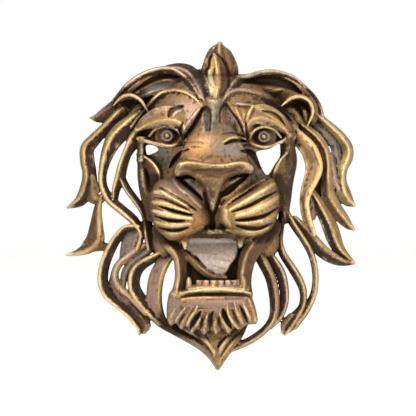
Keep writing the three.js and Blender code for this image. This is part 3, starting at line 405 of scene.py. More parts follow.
# Round bars under the face: rows of (x, z, h, half width, half depth)
BARS = {
    "bridge": [(-2, -6, 42, 4.5, 8), (-2, -18, 45, 7, 8), (-2, -30, 49, 12, 9),
               (-2, -38, 52.5, 17.5, 9.5),
              (-2, -47.5, 57, 22, 10.5)],
    "post_left": [(-48, -30, 28, 3, 8), (-48.3, -37, 26, 3, 8), (-48.6, -46, 28, 3, 8)],
    "cheek_left": [(-45, -49, 22, 2.4, 7), (-43.6, -56, 22, 3.4, 7), (-42.4, -63, 22, 2.4, 7)],
    "post_right": [(46, -28, 28, 3, 8), (45.4, -37, 26, 4.8, 8), (46.2, -46, 26, 5.2, 8),
                   (44.2, -58, 28, 5, 9), (43.2, -70, 29, 4.4, 8), (43.4, -79, 27, 2.8, 7),
                   (44, -86, 25, 1, 4)],
    "fin_left_back": [(-48.6, -44, 26, 2.6, 8), (-47.6, -56, 26, 3.5, 9), (-45.6, -66, 28, 4, 10),
                      (-42, -76, 30, 5, 10), (-42, -84, 28, 4, 10)],
    "gum_top": [(-25.5, -95, 37, 4.4, 6), (-20, -92.5, 39, 3.4, 6), (-10, -91, 43, 3.4, 7),
                (4, -91, 43, 3.4, 7),
                (16, -93.4, 39, 4.4, 6), (22.5, -95, 37, 4.6, 6)],
    "gum_low": [(-17, -127, 38, 2.4, 6), (-6, -127, 41, 2.4, 6), (6, -127, 41, 2.4, 6),
                (17, -127, 38, 2.4, 6)],
}
BAR_BLEND = {"bridge": 5}
USUAL_BLEND = 1.5

# Cushions of the face, by their outline in the front view: top h in the middle, slope of the top up
# the face, width of the rounded border, its fall, and how deep the cushion is
CUSHIONS = {
    "pad_left": dict(
        outline=[(-37, -58), (-43, -67), (-43.5, -78), (-40, -87), (-34, -94), (-28, -97), (-20, -95),
                 (-12, -91), (-6, -86), (-4.5, -78), (-9, -69), (-15, -62), (-26, -57)],
        top=66, slope=0.0, border=14, fall=22),
    "pad_right": dict(
        outline=[(0, -74), (8, -68), (20, -60), (33, -56), (38, -60), (40, -68), (40, -76), (37, -85),
                 (32, -91), (22, -94.5), (12, -92), (5, -88), (0, -82)],
        top=66, slope=0.0, border=14, fall=22),
    "chin": dict(
        outline=[(-24, -128.6), (-29.8, -129.4), (-31.6, -134), (-32.4, -141), (-32, -147.5),
                 (-29.6, -151.4),
                 (-26.6, -149.8), (-23, -153.6), (-19.8, -152), (-16.5, -155.8), (-12.4, -153.6),
                 (-8.4, -157),
                 (-4.6, -154.4), (-0.6, -156.8), (3.6, -153.8), (7.4, -156.6), (11, -153), (14.6, -154),
                 (19.4, -150.8), (25.8, -149.6), (25, -141), (22.8, -134), (21.6, -130), (17, -128.6),
                 (0, -128.4)],
        top=41.5, slope=0.35, border=7, fall=8, deep=24),
    "tongue": dict(
        outline=[(-17, -93), (-19, -99), (-20.5, -104), (-13.5, -107), (-8.5, -113), (-3, -117.5),
                 (2, -119),
                 (5.5, -118), (8.7, -112.5), (13.2, -106), (13.2, -99), (12, -93)],
        top=37, slope=-0.12, border=2, fall=1.2),
    "goatee": dict(
        outline=[(-21, -148), (-21.5, -153.6), (-13, -160), (-7, -166.4), (-2.6, -173), (0.3, -178.4),
                 (2.6, -173.4), (6.4, -166.4), (10.6, -160), (14.5, -154), (16, -148)],
        top=22, slope=0.45, border=3, fall=1.5, deep=11),
    "patch_left": dict(
        outline=[(-22, -56), (-14, -57), (-9.5, -61), (-8, -67), (-12, -66), (-18, -60.5)],
        top=58, slope=0, border=2, fall=1),
    "patch_right": dict(
        outline=[(3.3, -66), (5, -60), (10, -56.5), (16, -55.5), (14.5, -59), (8.5, -64)],
        top=58.5, slope=0, border=2, fall=1),
    "nose": dict(
        outline=[(-26.5, -49.5), (-24.5, -46.3), (-18, -45.2), (-10, -46), (-2, -47), (6, -46.5),
                 (13, -45.3),
                 (19, -46), (23.6, -49.5), (22.4, -53.6), (17, -54), (10, -55.5), (5, -59), (2.5, -66),
                 (0.5, -74), (-3, -78), (-5.8, -74), (-7.5, -66), (-10, -60), (-15, -56.5),
                 (-20, -54.6),
                 (-25.5, -55.6), (-27.6, -52.5)],
        top=68.4, slope=0.25, border=3.2, fall=5),
}

# Inner folds of the ears, laid out as the cushions are
EAR_FOLDS = {
    "left": dict(outline=[(-60, -21), (-55, -13), (-50, -8.5), (-46, -11), (-50, -17), (-55, -23)],
                 top=23, slope=0.1, border=3, fall=3),
    "right": dict(outline=[(43, -12), (48, -11), (53, -15), (57, -23), (52, -23), (46, -18)],
                  top=23, slope=0.1, border=3, fall=3),
    "right_lobe": dict(outline=[(54.5, -13), (57, -12), (59, -16), (58, -21.5), (56, -20)],
                       top=22, slope=0.0, border=2, fall=2),
}
EAR_BLEND = 0.8

# The plate behind the crown, by its outline
SCALP = [(-63, -8), (-50, 6), (-36, 10.5), (-20, 12), (0, 14), (16, 6), (34, 9.5), (48, 6.5), (60, -3),
         (65, -14), (56, -25), (0, -36), (-58, -24)]
SCALP_FRONT = 17.0

# Eyes, with their sockets by half sizes across, up and out
EYES = {"left": (-32.0, -29.5), "right": (30.0, -30.0)}
EYEBALL_RADIUS = 8.2
EYEBALL_H = 35.0
SOCKET = (9.0, 6.4, 9.0)
SOCKET_H = 47.0
IRIS_RADIUS = 3.6
PUPIL_RADIUS = 1.3

# Holes right through, as outlines in the front view
OPENINGS = {
    "cheek_hole_left": [(-45.3, -35.6), (-40, -35.9), (-37.6, -38.5), (-41, -40.7), (-44, -41.6),
                        (-45.3, -40.5)],
    "cheek_hole_right": [(25.5, -39.5), (33, -38), (37, -36), (40, -34.5), (40.5, -38), (40.2, -43),
                         (37.3, -47.3), (34.4, -52.4), (32, -54.6), (29.7, -52), (27.6, -47.5),
                         (26, -43)],
}

# Lines cut into the front, or raised on it, as rows of (x, z, half width), with the depth in
# millimetres, below 0 for a cut, and the paint that lies in it. The umber, dark and brown paint in the
# cuts is partly painted shade
LINES = [
    # crest
    (-1.2, "umber",
        [(-2, 23, 0.4), (-4.6, 20, 0.7), (-5, 15, 0.7), (-7, 12, 0.7), (-6.5, 9, 0.7), (-4, 2.5, 0.4)]),
    (-1.2, "dark",
        [(0, 23, 0.4), (4, 19, 0.8), (6, 14, 1), (7.3, 8, 1.2), (7.6, 2, 0.8)]),
    (-0.6, "umber",
        [(-1.5, 14, 0.3), (-2.4, 8, 0.6), (-1, 3, 0.3)]),
    # recesses under the crown, painted umber and dark as painted shade
    (-5, "umber",
        [(17, 5, 0.6), (26, 5.8, 2.2), (37, 5.4, 2.8), (47, 2.4, 2.2), (54, -2, 0.6)]),
    (-3, "dark",
        [(-24, 8, 0.5), (-34, 8.4, 1.4), (-44, 5, 1.4), (-54, -1.5, 0.5)]),
    # forehead
    (-3.4, "umber",
        [(-9, -12, 0.8), (-12, -18, 1.3), (-15, -23, 1.2), (-18.6, -28, 0.9), (-21.5, -32, 0.4)]),
    (-2.6, "slate",
        [(-7.5, -13, 1.8), (-6.6, -19, 1.8), (-6, -25, 1.2)]),
    # painted shadow at the top of the sunk panel beside the middle ridge
    (-1.8, "umber",
        [(-9.5, -13.2, 0.8), (-7.5, -11.4, 1.2), (-5, -13.5, 1), (-4.3, -19, 0.7), (-4.6, -26, 0.4)]),
    (-2.6, "mauve",
        [(5.4, -12, 1.2), (6.4, -18, 3.6), (9, -24, 4.6)]),
    # painted shadow round the top of the sunk panel on the right
    (-1.6, "umber",
        [(2, -21, 0.4), (2.1, -13.5, 0.7), (5.4, -9.6, 1), (8.6, -13.5, 0.7), (12.5, -18.5, 0.7),
         (16, -25, 0.6), (17.2, -29, 0.4)]),
    (-1.2, "dark",
        [(4, -28.3, 0.4), (10, -27.5, 0.6), (17, -30, 0.5)]),
    (-3, "umber",
        [(5, -34.8, 0.4), (9.5, -32.8, 1.1), (14, -32.6, 1), (18.5, -33.2, 0.4)]),
    (0.9, "brass",
        [(4.5, -33, 0.3), (10, -30.6, 0.7), (16, -30.8, 0.6), (19, -32, 0.3)]),
    (-2, "brown",
        [(-31, -17, 0.6), (-29.6, -13.6, 1.3), (-26, -11.6, 1.4), (-22, -10.8, 0.6)]),
    (1.2, "rose",
        [(-28.6, -17.4, 0.5), (-26.3, -14.4, 1.1), (-22.8, -13, 0.7)]),
    (-0.5, "bronze",
        [(-20, -34, 0.4), (-14, -33.6, 0.8), (-9, -34.2, 0.4)]),
    (-0.5, "bronze",
        [(-22, -37.5, 0.4), (-16, -36.6, 0.6), (-11, -37, 0.3)]),
    (0.8, "rose",
        [(-22.5, -28, 0.5), (-19, -22, 0.8), (-14, -15, 0.8), (-11, -11.5, 0.4)]),
    (-2, "umber",
        [(29, -13.4, 0.4), (34.5, -14.8, 1), (39.5, -17.8, 1.1), (43.4, -22.4, 0.4)]),
    (-1.4, "umber",
        [(-22, -21, 0.5), (-23.5, -26, 1), (-22.5, -31, 0.6)]),
    (-1.4, "umber",
        [(18.5, -21, 0.4), (18.8, -26, 0.9), (20, -31, 0.6)]),
    (0.8, "gold",
        [(12, -11, 0.5), (14.5, -17, 0.9), (17, -23, 0.6)]),
    # bridge sides
    (-3.6, "umber",
        [(-18.5, -38, 0.5), (-23, -40.6, 1), (-27, -45, 1.3), (-30.5, -50, 0.5)]),
    (-4.2, "umber",
        [(15.8, -39.2, 0.6), (20, -39.8, 1.4), (24, -42.6, 2), (26.4, -47, 1.4), (27.8, -50.5, 0.5)]),
    (0.8, "copper",
        [(-17, -36, 0.4), (-20.5, -39.5, 0.8), (-25, -44, 0.7)]),
    # nose and nostrils: brown along the front of the nose, which faces down, and umber in the nostrils,
    # both painted shade
    (-0.4, "brown",
        [(-20, -50, 1.4), (-12, -51.5, 2.2), (-3, -52.5, 2.2), (6, -51.5, 2), (14, -50.2, 1.4)]),
    (-5, "umber",
        [(-25.2, -56.4, 0.8), (-22.4, -56.6, 1.2), (-18, -55.5, 0.6), (-14.5, -57.2, 0.5)]),
    (-4.5, "umber",
        [(-24, -57, 0.6), (-19.5, -61.2, 0.9), (-13, -66.8, 0.8), (-9, -71, 0.4)]),
    (-5, "umber",
        [(19.6, -54.4, 0.8), (17.4, -55, 1.4), (13, -55.2, 0.5), (9, -57, 0.4)]),
    (-5.5, "umber",
        [(17.5, -56.5, 1), (12.5, -60.4, 1.3), (7.5, -64.4, 1.8), (2.8, -67.5, 1.2)]),
    (-2.2, "dark",
        [(-8, -66, 1), (-6.6, -72, 1), (-4, -79, 0.9)]),
    (-2.2, "umber",
        [(2.4, -66, 1), (0.8, -72, 1), (-1.6, -79, 0.9)]),
    (-2.5, "umber",
        [(-3.4, -77, 0.8), (-3, -82, 1.5), (-3, -88, 1.8)]),
    (1.2, "rose",
        [(-28.5, -57, 0.7), (-24, -61.5, 1.5), (-17, -67.5, 1.4), (-10, -75, 0.8)]),
    # whisker pads
    (-2.8, "umber",
        [(-38, -74.4, 0.3), (-30, -76.9, 0.8), (-22, -79, 0.9), (-16, -80.2, 0.4)]),
    (-2.8, "umber",
        [(-40, -81, 0.3), (-32, -83.4, 0.9), (-26, -84.1, 0.9), (-21, -83.9, 0.4)]),
    (-3, "umber",
        [(-37.5, -88.4, 0.4), (-30, -89.9, 0.9), (-24, -89.7, 0.9), (-18.5, -88.2, 0.4)]),
    (-2, "dark",
        [(-37, -62.5, 0.4), (-30, -67, 0.9), (-22, -71.6, 0.9), (-13, -77.4, 0.4)]),
    (-1.2, "dark",
        [(-40, -69, 0.3), (-33, -70.5, 0.6), (-26, -73.6, 0.6), (-18, -77.2, 0.3)]),
    (-3, "umber",
        [(12, -83.6, 0.4), (20, -83, 1), (30, -80.8, 1), (39, -75.6, 0.4)]),
    (-3, "umber",
        [(12, -87, 0.4), (18, -88.3, 1.2), (27, -88.7, 1.1), (35, -85.6, 0.4)]),
    (-2.4, "umber",
        [(9, -78.6, 0.3), (20, -74.6, 0.9), (30, -69.4, 0.9), (38.5, -65, 0.4)]),
    (-2, "umber",
        [(7, -73.6, 0.3), (18, -66.4, 0.9), (27, -60.2, 0.9), (34, -56.5, 0.4)]),
    (1.4, "pale",
        [(-40, -65.6, 1), (-34, -65.8, 1.4), (-27, -69.4, 1.5), (-19, -74.4, 0.9)]),
    (1.3, "brass",
        [(-41, -72, 1), (-33, -73.4, 1.5), (-25, -76.2, 1.3), (-17, -79, 0.6)]),
    (1.4, "pale",
        [(-41, -77.6, 0.8), (-33, -79.8, 1.4), (-24, -81.6, 1.3), (-16, -82.6, 0.7)]),
    (1.5, "brass",
        [(-40, -84.8, 0.8), (-32, -86.7, 1.3), (-24, -86.9, 1.3), (-17, -86, 0.8)]),
    (1.4, "gold",
        [(-35, -92, 0.9), (-28, -93.2, 1.5), (-18, -91.6, 1.4), (-9, -88, 0.9)]),
    (1.4, "gold",
        [(3, -74.6, 1), (10, -70, 1.3), (20, -63.2, 1.4), (30, -58, 1)]),
    (1.5, "brass",
        [(8, -76.6, 1), (19, -70.6, 1.6), (29, -64.6, 1.5), (36.5, -60.4, 0.9)]),
    (1.5, "brass",
        [(12, -81, 0.9), (22, -78.4, 1.6), (32, -73.4, 1.7), (39.6, -68.6, 1)]),
    (1.5, "gold",
        [(12, -85.3, 0.6), (22, -85.7, 1.2), (32, -83.4, 1.3), (38.6, -79.2, 0.8)]),
    (1.5, "brass",
        [(6, -89.6, 0.8), (16, -92, 1.4), (26, -91.8, 1.4), (33, -88.6, 0.8)]),
    (1.6, "brass",
        [(1.5, -74.4, 1), (4.6, -77.4, 1.8), (5, -83, 1.6), (8, -87, 1)]),
    # lips and chin
    (-1.5, "brown",
        [(-23, -133, 0.4), (-12, -131.4, 0.9), (2, -131.1, 0.9), (13, -131.4, 0.9), (21, -132.6, 0.4)]),
    (0.8, "copper",
        [(-23, -135.2, 0.4), (-17, -133.9, 0.8), (-8, -133.2, 0.8), (4, -133.2, 0.5)]),
    (1, "mauve",
        [(-31, -148, 0.4), (-29.4, -144.6, 1.1), (-27, -140.4, 0.4)]),
    (1.5, "rose",
        [(-27.4, -151, 0.3), (-26, -147.4, 0.7), (-23.4, -143.6, 0.9), (-20.4, -139.8, 0.3)]),
    (1.2, "bronze",
        [(-23, -153.6, 0.4), (-21.6, -149, 1.3), (-18.6, -143.6, 1), (-16, -140.4, 0.3)]),
    (1.7, "brass",
        [(-19.6, -151.6, 0.3), (-17.8, -147.4, 0.8), (-14.4, -142.4, 0.8), (-12.6, -138.8, 0.3)]),
    (1.2, "bronze",
        [(-14.6, -154.4, 0.4), (-12.8, -150.6, 1), (-11, -147, 0.5)]),
    (1.4, "brown",
        [(-8.4, -156.4, 0.3), (-7.6, -152.4, 1.3), (-7, -147, 0.9), (-5.6, -143, 0.3)]),
    (1.2, "bronze",
        [(-0.8, -156.4, 0.3), (-1.6, -152, 1.2), (-0.8, -147.4, 0.5)]),
    (1.5, "bronze",
        [(7, -156, 0.3), (5.2, -151.4, 1.1), (2.6, -146, 0.8), (1.4, -142.6, 0.3)]),
    (2, "brass",
        [(13.6, -153.6, 0.3), (10.8, -150, 0.8), (7.6, -145, 1), (6.4, -139, 0.4)]),
    (1.3, "gold",
        [(16.8, -150.6, 0.3), (14.6, -146.4, 1.2), (12, -140.4, 0.9), (11, -136, 0.3)]),
    (1.6, "brass",
        [(21.6, -149.2, 0.3), (19.4, -143, 1.1), (16.4, -136.8, 0.5)]),
    (1.5, "gold",
        [(25, -148.4, 0.4), (23.4, -141.5, 1.2), (20.8, -134.6, 0.6)]),
    (-1.6, "brown",
        [(-24.8, -151.4, 0.3), (-23.6, -148, 0.7), (-21, -144, 0.3)]),
    (-3.4, "umber",
        [(-17.6, -154, 0.4), (-15.4, -149.6, 1.3), (-12.4, -145, 1.1), (-10.6, -142.4, 0.4)]),
    (-1.8, "dark",
        [(-11, -153.6, 0.3), (-10, -150.4, 0.8), (-9.4, -146.4, 0.4)]),
    (-2, "dark",
        [(-4.8, -154, 0.3), (-4.2, -149, 1.1), (-4, -145, 1), (-2.6, -142.4, 0.4)]),
    (-1.6, "dark",
        [(2.6, -153.6, 0.3), (1.4, -149.8, 0.8), (0.8, -146.4, 0.4)]),
    (-3.4, "umber",
        [(9.2, -153, 0.4), (6.8, -148.6, 1.4), (4.6, -143.4, 1.3), (3.8, -140.6, 0.4)]),
    (-1.6, "brown",
        [(14.8, -151.6, 0.3), (11.8, -146.4, 0.7), (9.6, -141, 0.3)]),
    (-2.4, "dark",
        [(19.4, -149, 0.4), (17.4, -144, 0.9), (14.6, -138.4, 0.3)]),
    # goatee
    (-1.6, "umber",
        [(0.4, -165, 0.5), (2.6, -161.6, 0.9), (5.6, -158.6, 0.4)]),
    (-1.6, "brown",
        [(-20, -155.6, 0.4), (-13, -159.6, 0.8), (-7, -164.4, 0.8), (-2.6, -170, 0.3)]),
    (0.8, "brass",
        [(-24, -153.4, 0.3), (-14, -157.6, 0.6), (-7, -162.2, 0.7), (-1.6, -170.4, 0.3)]),
    (-1.4, "dark",
        [(12.5, -156.5, 0.4), (7, -163.6, 0.7), (2.2, -171.4, 0.3)]),
    (0.8, "brass",
        [(14.4, -157.2, 0.3), (9, -163.4, 0.7), (3.8, -171, 0.6), (1.2, -176.5, 0.3)]),
]

# Bright lines on high edges, partly the gold paint that the brush left there and partly painted
# highlights where the light catches the top of the nose, the brows, the crest and the lip: paint,
# strength and rows of (x, z, half width)
BRUSHED_AND_LIT_EDGES = [
    ("brass", 0.8,
        [(-26.3, -49.2, 0.3), (-24, -47.3, 0.4), (-18, -46.4, 0.5), (-10, -47.2, 0.5), (-2, -48.2, 0.5),
         (6, -47.7, 0.5), (13, -46.5, 0.5), (19, -47.1, 0.4), (22.6, -49.2, 0.3)]),
    ("rose", 0.6,
        [(-48, -20.5, 0.5), (-40, -15, 0.8), (-33, -11.4, 0.8)]),
    ("brass", 0.6,
        [(22, -9.5, 0.7), (30, -13.6, 1), (38, -18.6, 1), (43.5, -24.5, 0.7)]),
    ("brass", 0.7,
        [(24, -20.6, 0.5), (30, -22, 0.7), (36, -22.6, 0.5)]),
    ("pale", 0.8,
        [(-20, -128, 0.4), (-8, -127.4, 0.5), (6, -127.4, 0.5), (20, -128.4, 0.4)]),
    ("rose", 0.5,
        [(-22, -137, 0.8), (-8, -135.4, 1.4), (8, -135.4, 1.4), (18, -137, 0.8)]),
    ("pale", 0.9,
        [(-5, 12, 1), (-4.5, 6, 2.2), (-3, 0, 2.2), (-2, -4, 1)]),
    ("brass", 0.8,
        [(-22.6, -97, 0.6), (-21, -99.5, 0.9), (-20.6, -102, 0.4)]),
]

# Broad fields of paint on the face: x, z, half width, half height, turn in degrees, paint, strength
FIELDS = [
    (-2, -4, 15, 9, 0, "mauve", 0.6),
    (-20, -16, 14, 10, -30, "mauve", 0.9),
    (-38, -14, 11, 5, 30, "rose", 0.5),
    (-46, -27, 6, 5, 0, "bronze", 0.6),
    (-22, -26, 4, 6, -25, "olive", 0.5),
    (-1.5, -18, 3, 12, 0, "slate", 0.9),
    (10, -22, 6, 8, 35, "mauve", 0.8),
    (20, -16, 5, 8, 15, "gold", 0.5),
    (33, -16, 10, 6, -28, "mauve", 0.7),
    (-15, -36, 12, 9, 0, "copper", 0.6),
    (-6, -30, 5, 6, 0, "mauve", 0.5),
    (9, -38, 12, 7, 0, "grey", 0.85),
    (-2, -44, 20, 2.5, 0, "bronze", 0.6),
    (-36, -44, 10, 9, -25, "slate", 0.95),
    (-30, -37, 12, 3, 0, "mauve", 0.8),
    (25, -54, 7, 6, 0, "grey", 0.9),
    # painted shade on the front of the nose, which faces down
    (-2, -52, 25, 4.5, 0, "brown", 1.0),
    (-4, -60, 6, 9, 0, "brown", 0.9),
    (-15, -60.5, 7, 4, -35, "grey", 0.7),
    (8, -60, 6, 3.5, 35, "brown", 0.8),
    (-3, -74, 5, 12, 0, "dark", 0.9),
    (-27, -63, 12, 5, -30, "mauve", 0.85),
    (-34, -70, 9, 6, -10, "bronze", 0.5),
    (-28, -82, 14, 8, 0, "bronze", 0.6),
    (-14, -87, 9, 5, 10, "copper", 0.6),
    (-24, -94, 10, 3, 15, "bronze", 0.7),
    (20, -78, 20, 16, 20, "gold", 0.5),
    (22, -66, 10, 4, 30, "bronze", 0.5),
    (3, -80, 5, 7, 0, "gold", 0.6),
    # painted shade under the whisker pads, over the upper teeth and gums, and beside the tongue
    (-3, -92, 17, 5, 0, "dark", 1.0),
    (14, -97, 3, 6, 0, "dark", 0.9),
    # painted shade in the deep places beside the cheeks
    (46, -52, 8, 30, 0, "dark", 1.0),
    (43, -80, 6, 10, 0, "brown", 0.9),
    (-48, -50, 6, 24, 0, "dark", 0.9),
    (-44, -76, 6, 10, 0, "brown", 0.9),
    (0, -112, 17, 20, 0, "brown", 0.8),
    (-14, -114, 7, 8, -45, "brown", 0.8),
    (-2, -137, 26, 7, 0, "mauve", 0.9),
    (-28, -138, 5, 12, 0, "grey", 0.6),
    (-4, -148, 9, 6, 0, "brown", 0.8),
    (20, -143, 6, 9, 0, "bronze", 0.6),
    (-18, -150, 8, 5, 0, "slate", 0.5),
]

# Teeth: each row from its first to its last x; how much the tips rise away from the longest tooth; how
# far the ends of the row stand back; how far the tips stand back; half width and half depth of both ends
UPPER_TEETH = dict(first=-13, last=9, count=7, root=-91, tip=-95.6, rise=1.2, longest=0.4,
                   h=41, bow=0, back=0.5, root_size=(1.9, 2.6), tip_size=(1.5, 1.5))
LOWER_TEETH = dict(first=-11.5, last=11.5, count=6, root=-129, tip=-122, rise=0, longest=0.5,
                   h=44, bow=12, back=0, root_size=(2.25, 2.8), tip_size=(2.2, 2.6))
FANGS = [
    [(-21, -93, 46, 3, 3.2), (-20.6, -98, 46, 2.2, 2.4), (-20.3, -102.6, 45, 0.7, 0.7)],
    [(14.6, -93, 43, 3, 3.2), (14.8, -98, 43, 2.2, 2.4), (14.6, -101.6, 42, 0.7, 0.7)],
    [(-18, -128, 42, 2.4, 3), (-18, -123, 42, 1.8, 2.2), (-18, -119.8, 42, 0.7, 0.7)],
    [(17, -128, 42, 2.4, 3), (17, -123, 42, 1.8, 2.2), (17, -119.8, 42, 0.7, 0.7)],
]
TOOTH_BLEND = 0.4

# The space between the jaws, and what is painted in it: the tongue lies behind its front, and the lower
# teeth reach up to their top
MOUTH = dict(x=-3.0, half=20.0, top=-94.5, foot=-129.0, back=35.0, front=47.5)
TONGUE_FRONT = 40.5
TEETH_TOP = -119.0
MOUTH_TINTS = [
    (-3, -98, 21, 9, 0, "tongue", 1.0),
    (-1, -107, 13, 12, 0, "tongue", 1.0),
    (-6, -124, 8, 4.5, 0, "tooth", 1.0),
    (7, -124, 6, 4.5, 0, "rose", 0.9),
]


# Ways along a curve, and distances

def spline(a, b, c, d, t):
    """Smooth curve from b to c, with a before them and d after them."""
    return 0.5 * (2 * b + (c - a) * t + (2 * a - 5 * b + 4 * c - d) * t**2
                  + (3 * b - 3 * c + d - a) * t**3)


def curve(rows, spacing):
    """A smooth curve through rows of numbers that begin with x and z, walked in even steps."""
    p = np.asarray(rows, float)
    p = np.vstack([2 * p[0] - p[1], p, 2 * p[-1] - p[-2]])
    t = np.linspace(0, 1, 24, endpoint=False)[:, None]
    pieces = [spline(*near, t) for near in zip(p[:-3], p[1:-2], p[2:-1], p[3:])]
    fine = np.vstack([*pieces, p[-2][None]])
    gone = np.r_[0, np.cumsum(np.hypot(*np.diff(fine[:, :2], axis=0).T))]
    steps = max(4, int(round(gone[-1] / spacing)) + 1)
    run = np.linspace(0, gone[-1], steps)
    return np.stack([np.interp(run, gone, column) for column in fine.T], 1), run


def outline_of(points):
    """A closed smooth outline through the points."""
    p = np.asarray(points, float)
    t = np.linspace(0, 1, 6, endpoint=False)[:, None]
    return np.vstack([spline(*near, t) for near in zip(*(np.roll(p, n, 0) for n in (1, 0, -1, -2)))])


def outline_distance(outline, x, z):
    """Distance to a closed outline, below 0 inside it."""
    nearest = np.full(x.shape, 1e9)
    inside = np.zeros(x.shape, bool)
    for (ax, az), (bx, bz) in zip(outline, np.roll(outline, 1, axis=0)):
        ex, ez = bx - ax, bz - az
        wx, wz = x - ax, z - az
        t = np.clip((wx * ex + wz * ez) / (ex * ex + ez * ez), 0, 1)
        nearest = np.minimum(nearest, (wx - ex * t) ** 2 + (wz - ez * t) ** 2)
        crosses = (az > z) != (bz > z)
        side = ex * wz - ez * wx
        inside ^= crosses & ((side > 0) == (bz > az))
    return np.where(inside, -1, 1) * np.sqrt(nearest)


def soft_min(a, b, blend):
    """The smaller of the two, run together where they differ by less than the blend."""
    near = np.maximum(blend - np.abs(a - b), 0) / blend
    return np.minimum(a, b) - near * near * blend * 0.25


def soft_max(a, b, blend):
    return -soft_min(-a, -b, blend)


def eased(value, low, high):
    """From 0 at low to 1 at high, slow at both ends."""
    t = np.clip((value - low) / (high - low), 0, 1)
    return t * t * (3 - 2 * t)


def ground(x, z):
    """How far out the ground lies that the locks are laid on."""
    mane = 1 - ((x - MANE["x"]) / MANE["across"]) ** 2 - ((z - MANE["z"]) / MANE["up"]) ** 2
    dome = MANE["rim"] + MANE["rise"] * np.maximum(0, mane)
    left = 1 - ((x - SKULL["x"]) / SKULL["across"]) ** 2 - ((z - SKULL["z"]) / SKULL["up"]) ** 2
    front = np.where(left > 0, SKULL["h"] + SKULL["out"] * np.sqrt(np.maximum(left, 0)), 0)
    return np.maximum(dome, front)


class Way:
    """Where each place of a patch lies beside a curve: share and run along it, side and reach off it."""

    def __init__(self, rows, x, z, spacing=0.8):
        line, run = curve(rows, spacing)
        heading = np.gradient(line[:, :2], axis=0)
        heading /= np.linalg.norm(heading, axis=1)[:, None] + 1e-9
        px, pz = x.ravel(), z.ravel()
        nearest = np.full(px.shape, 1e9)
        at = np.zeros(px.shape, int)
        for i, (lx, lz) in enumerate(line[:, :2]):
            gap = (px - lx) ** 2 + (pz - lz) ** 2
            closer = gap < nearest
            nearest[closer] = gap[closer]
            at[closer] = i
        dx, dz = px - line[at, 0], pz - line[at, 1]
        tx, tz = heading[at, 0], heading[at, 1]
        along = run[at] + dx * tx + dz * tz
        past = np.maximum(along - run[-1], 0) + np.maximum(-along, 0)
        side = dz * tx - dx * tz
        self.share = np.clip(along / run[-1], 0, 1).reshape(x.shape)
        self.run = along.reshape(x.shape)
        self.side = side.reshape(x.shape)
        self.reach = np.hypot(side, past).reshape(x.shape)
        self.half = np.interp(self.share, run / run[-1], np.maximum(line[:, 2], 0.05))
        self.level = np.interp(self.share, run / run[-1], line[:, -1])


class Block:
    """The block being carved: for each place the distance to the surface, below 0 inside."""

    def __init__(self):
        self.x, self.z, self.h = (np.arange(low, high, GRAIN) for low, high in zip(BLOCK_LOW, BLOCK_HIGH))
        self.field = np.full((len(self.x), len(self.z), len(self.h)), EMPTY, np.float32)

    def span(self, ticks, low, high):
        first = max(0, int(np.searchsorted(ticks, low)) - 1)
        last = min(len(ticks), int(np.searchsorted(ticks, high)) + 1)
        return slice(first, max(last, first + 2))

    def flat_patch(self, points, margin):
        p = np.asarray(points, float)
        (x0, z0), (x1, z1) = p[:, :2].min(0) - margin, p[:, :2].max(0) + margin
        where = self.span(self.x, x0, x1), self.span(self.z, z0, z1)
        x, z = np.meshgrid(self.x[where[0]], self.z[where[1]], indexing="ij")
        return where, x, z

    def deep_patch(self, low, high):
        where = tuple(self.span(t, a, b) for t, a, b in zip((self.x, self.z, self.h), low, high))
        x, z, h = (t[w] for t, w in zip((self.x, self.z, self.h), where))
        return where, x[:, None, None], z[None, :, None], h[None, None, :]

    def join(self, where, distance, blend):
        self.field[where] = soft_min(self.field[where], distance.astype(np.float32), blend)

    def cut(self, where, distance, blend):
        self.field[where] = soft_max(self.field[where], -distance.astype(np.float32), blend)

    def front(self):
        """How far out the front surface stands, over each place of the wall; nan where there is none."""
        solid = self.field < 0
        top = solid.shape[2] - 1 - np.argmax(solid[:, :, ::-1], axis=2)
        i, j = np.indices(top.shape)
        inner = self.field[i, j, top]
        outer = self.field[i, j, np.minimum(top + 1, solid.shape[2] - 1)]
        part = np.where(outer > inner, -inner / np.maximum(outer - inner, 1e-6), 0)
        return np.where(solid.any(axis=2), self.h[top] + GRAIN * part, np.nan)

    def back(self):
        """How far out the surface towards the wall stands, over each place of the wall."""
        return self.h[np.argmax(self.field < 0, axis=2)]


# Shapes put on the block or cut from it

def slab(block, where, edge, top, bottom, blend):
    """A slab between two height maps, within the edge."""
    heights = block.span(block.h, float(bottom.min()) - 3, float(top.max()) + 3)
    h = block.h[heights][None, None, :]
    rise_x, rise_z = np.gradient(top, GRAIN)
    lean = np.sqrt(1 + np.minimum(rise_x**2 + rise_z**2, 9.0))[:, :, None]
    over = (h - top[:, :, None]) / lean
    under = bottom[:, :, None] - h
    body = soft_max(np.maximum(over, under), edge[:, :, None], SOFT_EDGE)
    block.join((*where, heights), body, blend)


def over_width(way):
    """The place over the width, -1 and 1 at the edges, and the share of its relief that a part keeps."""
    return np.clip(way.side / way.half, -1.35, 1.35), np.minimum(1, way.half / NARROW_HALF)


def fall_of(way, crest, drop):
    """How far the top lies under its crest line, over the width."""
    across, kept = over_width(way)
    off = (across - crest) / np.where(across > crest, 1 - crest, 1 + crest)
    return drop * kept * np.minimum(np.abs(off), 1.3) ** 0.85 * (1 - np.sign(off) * crest)


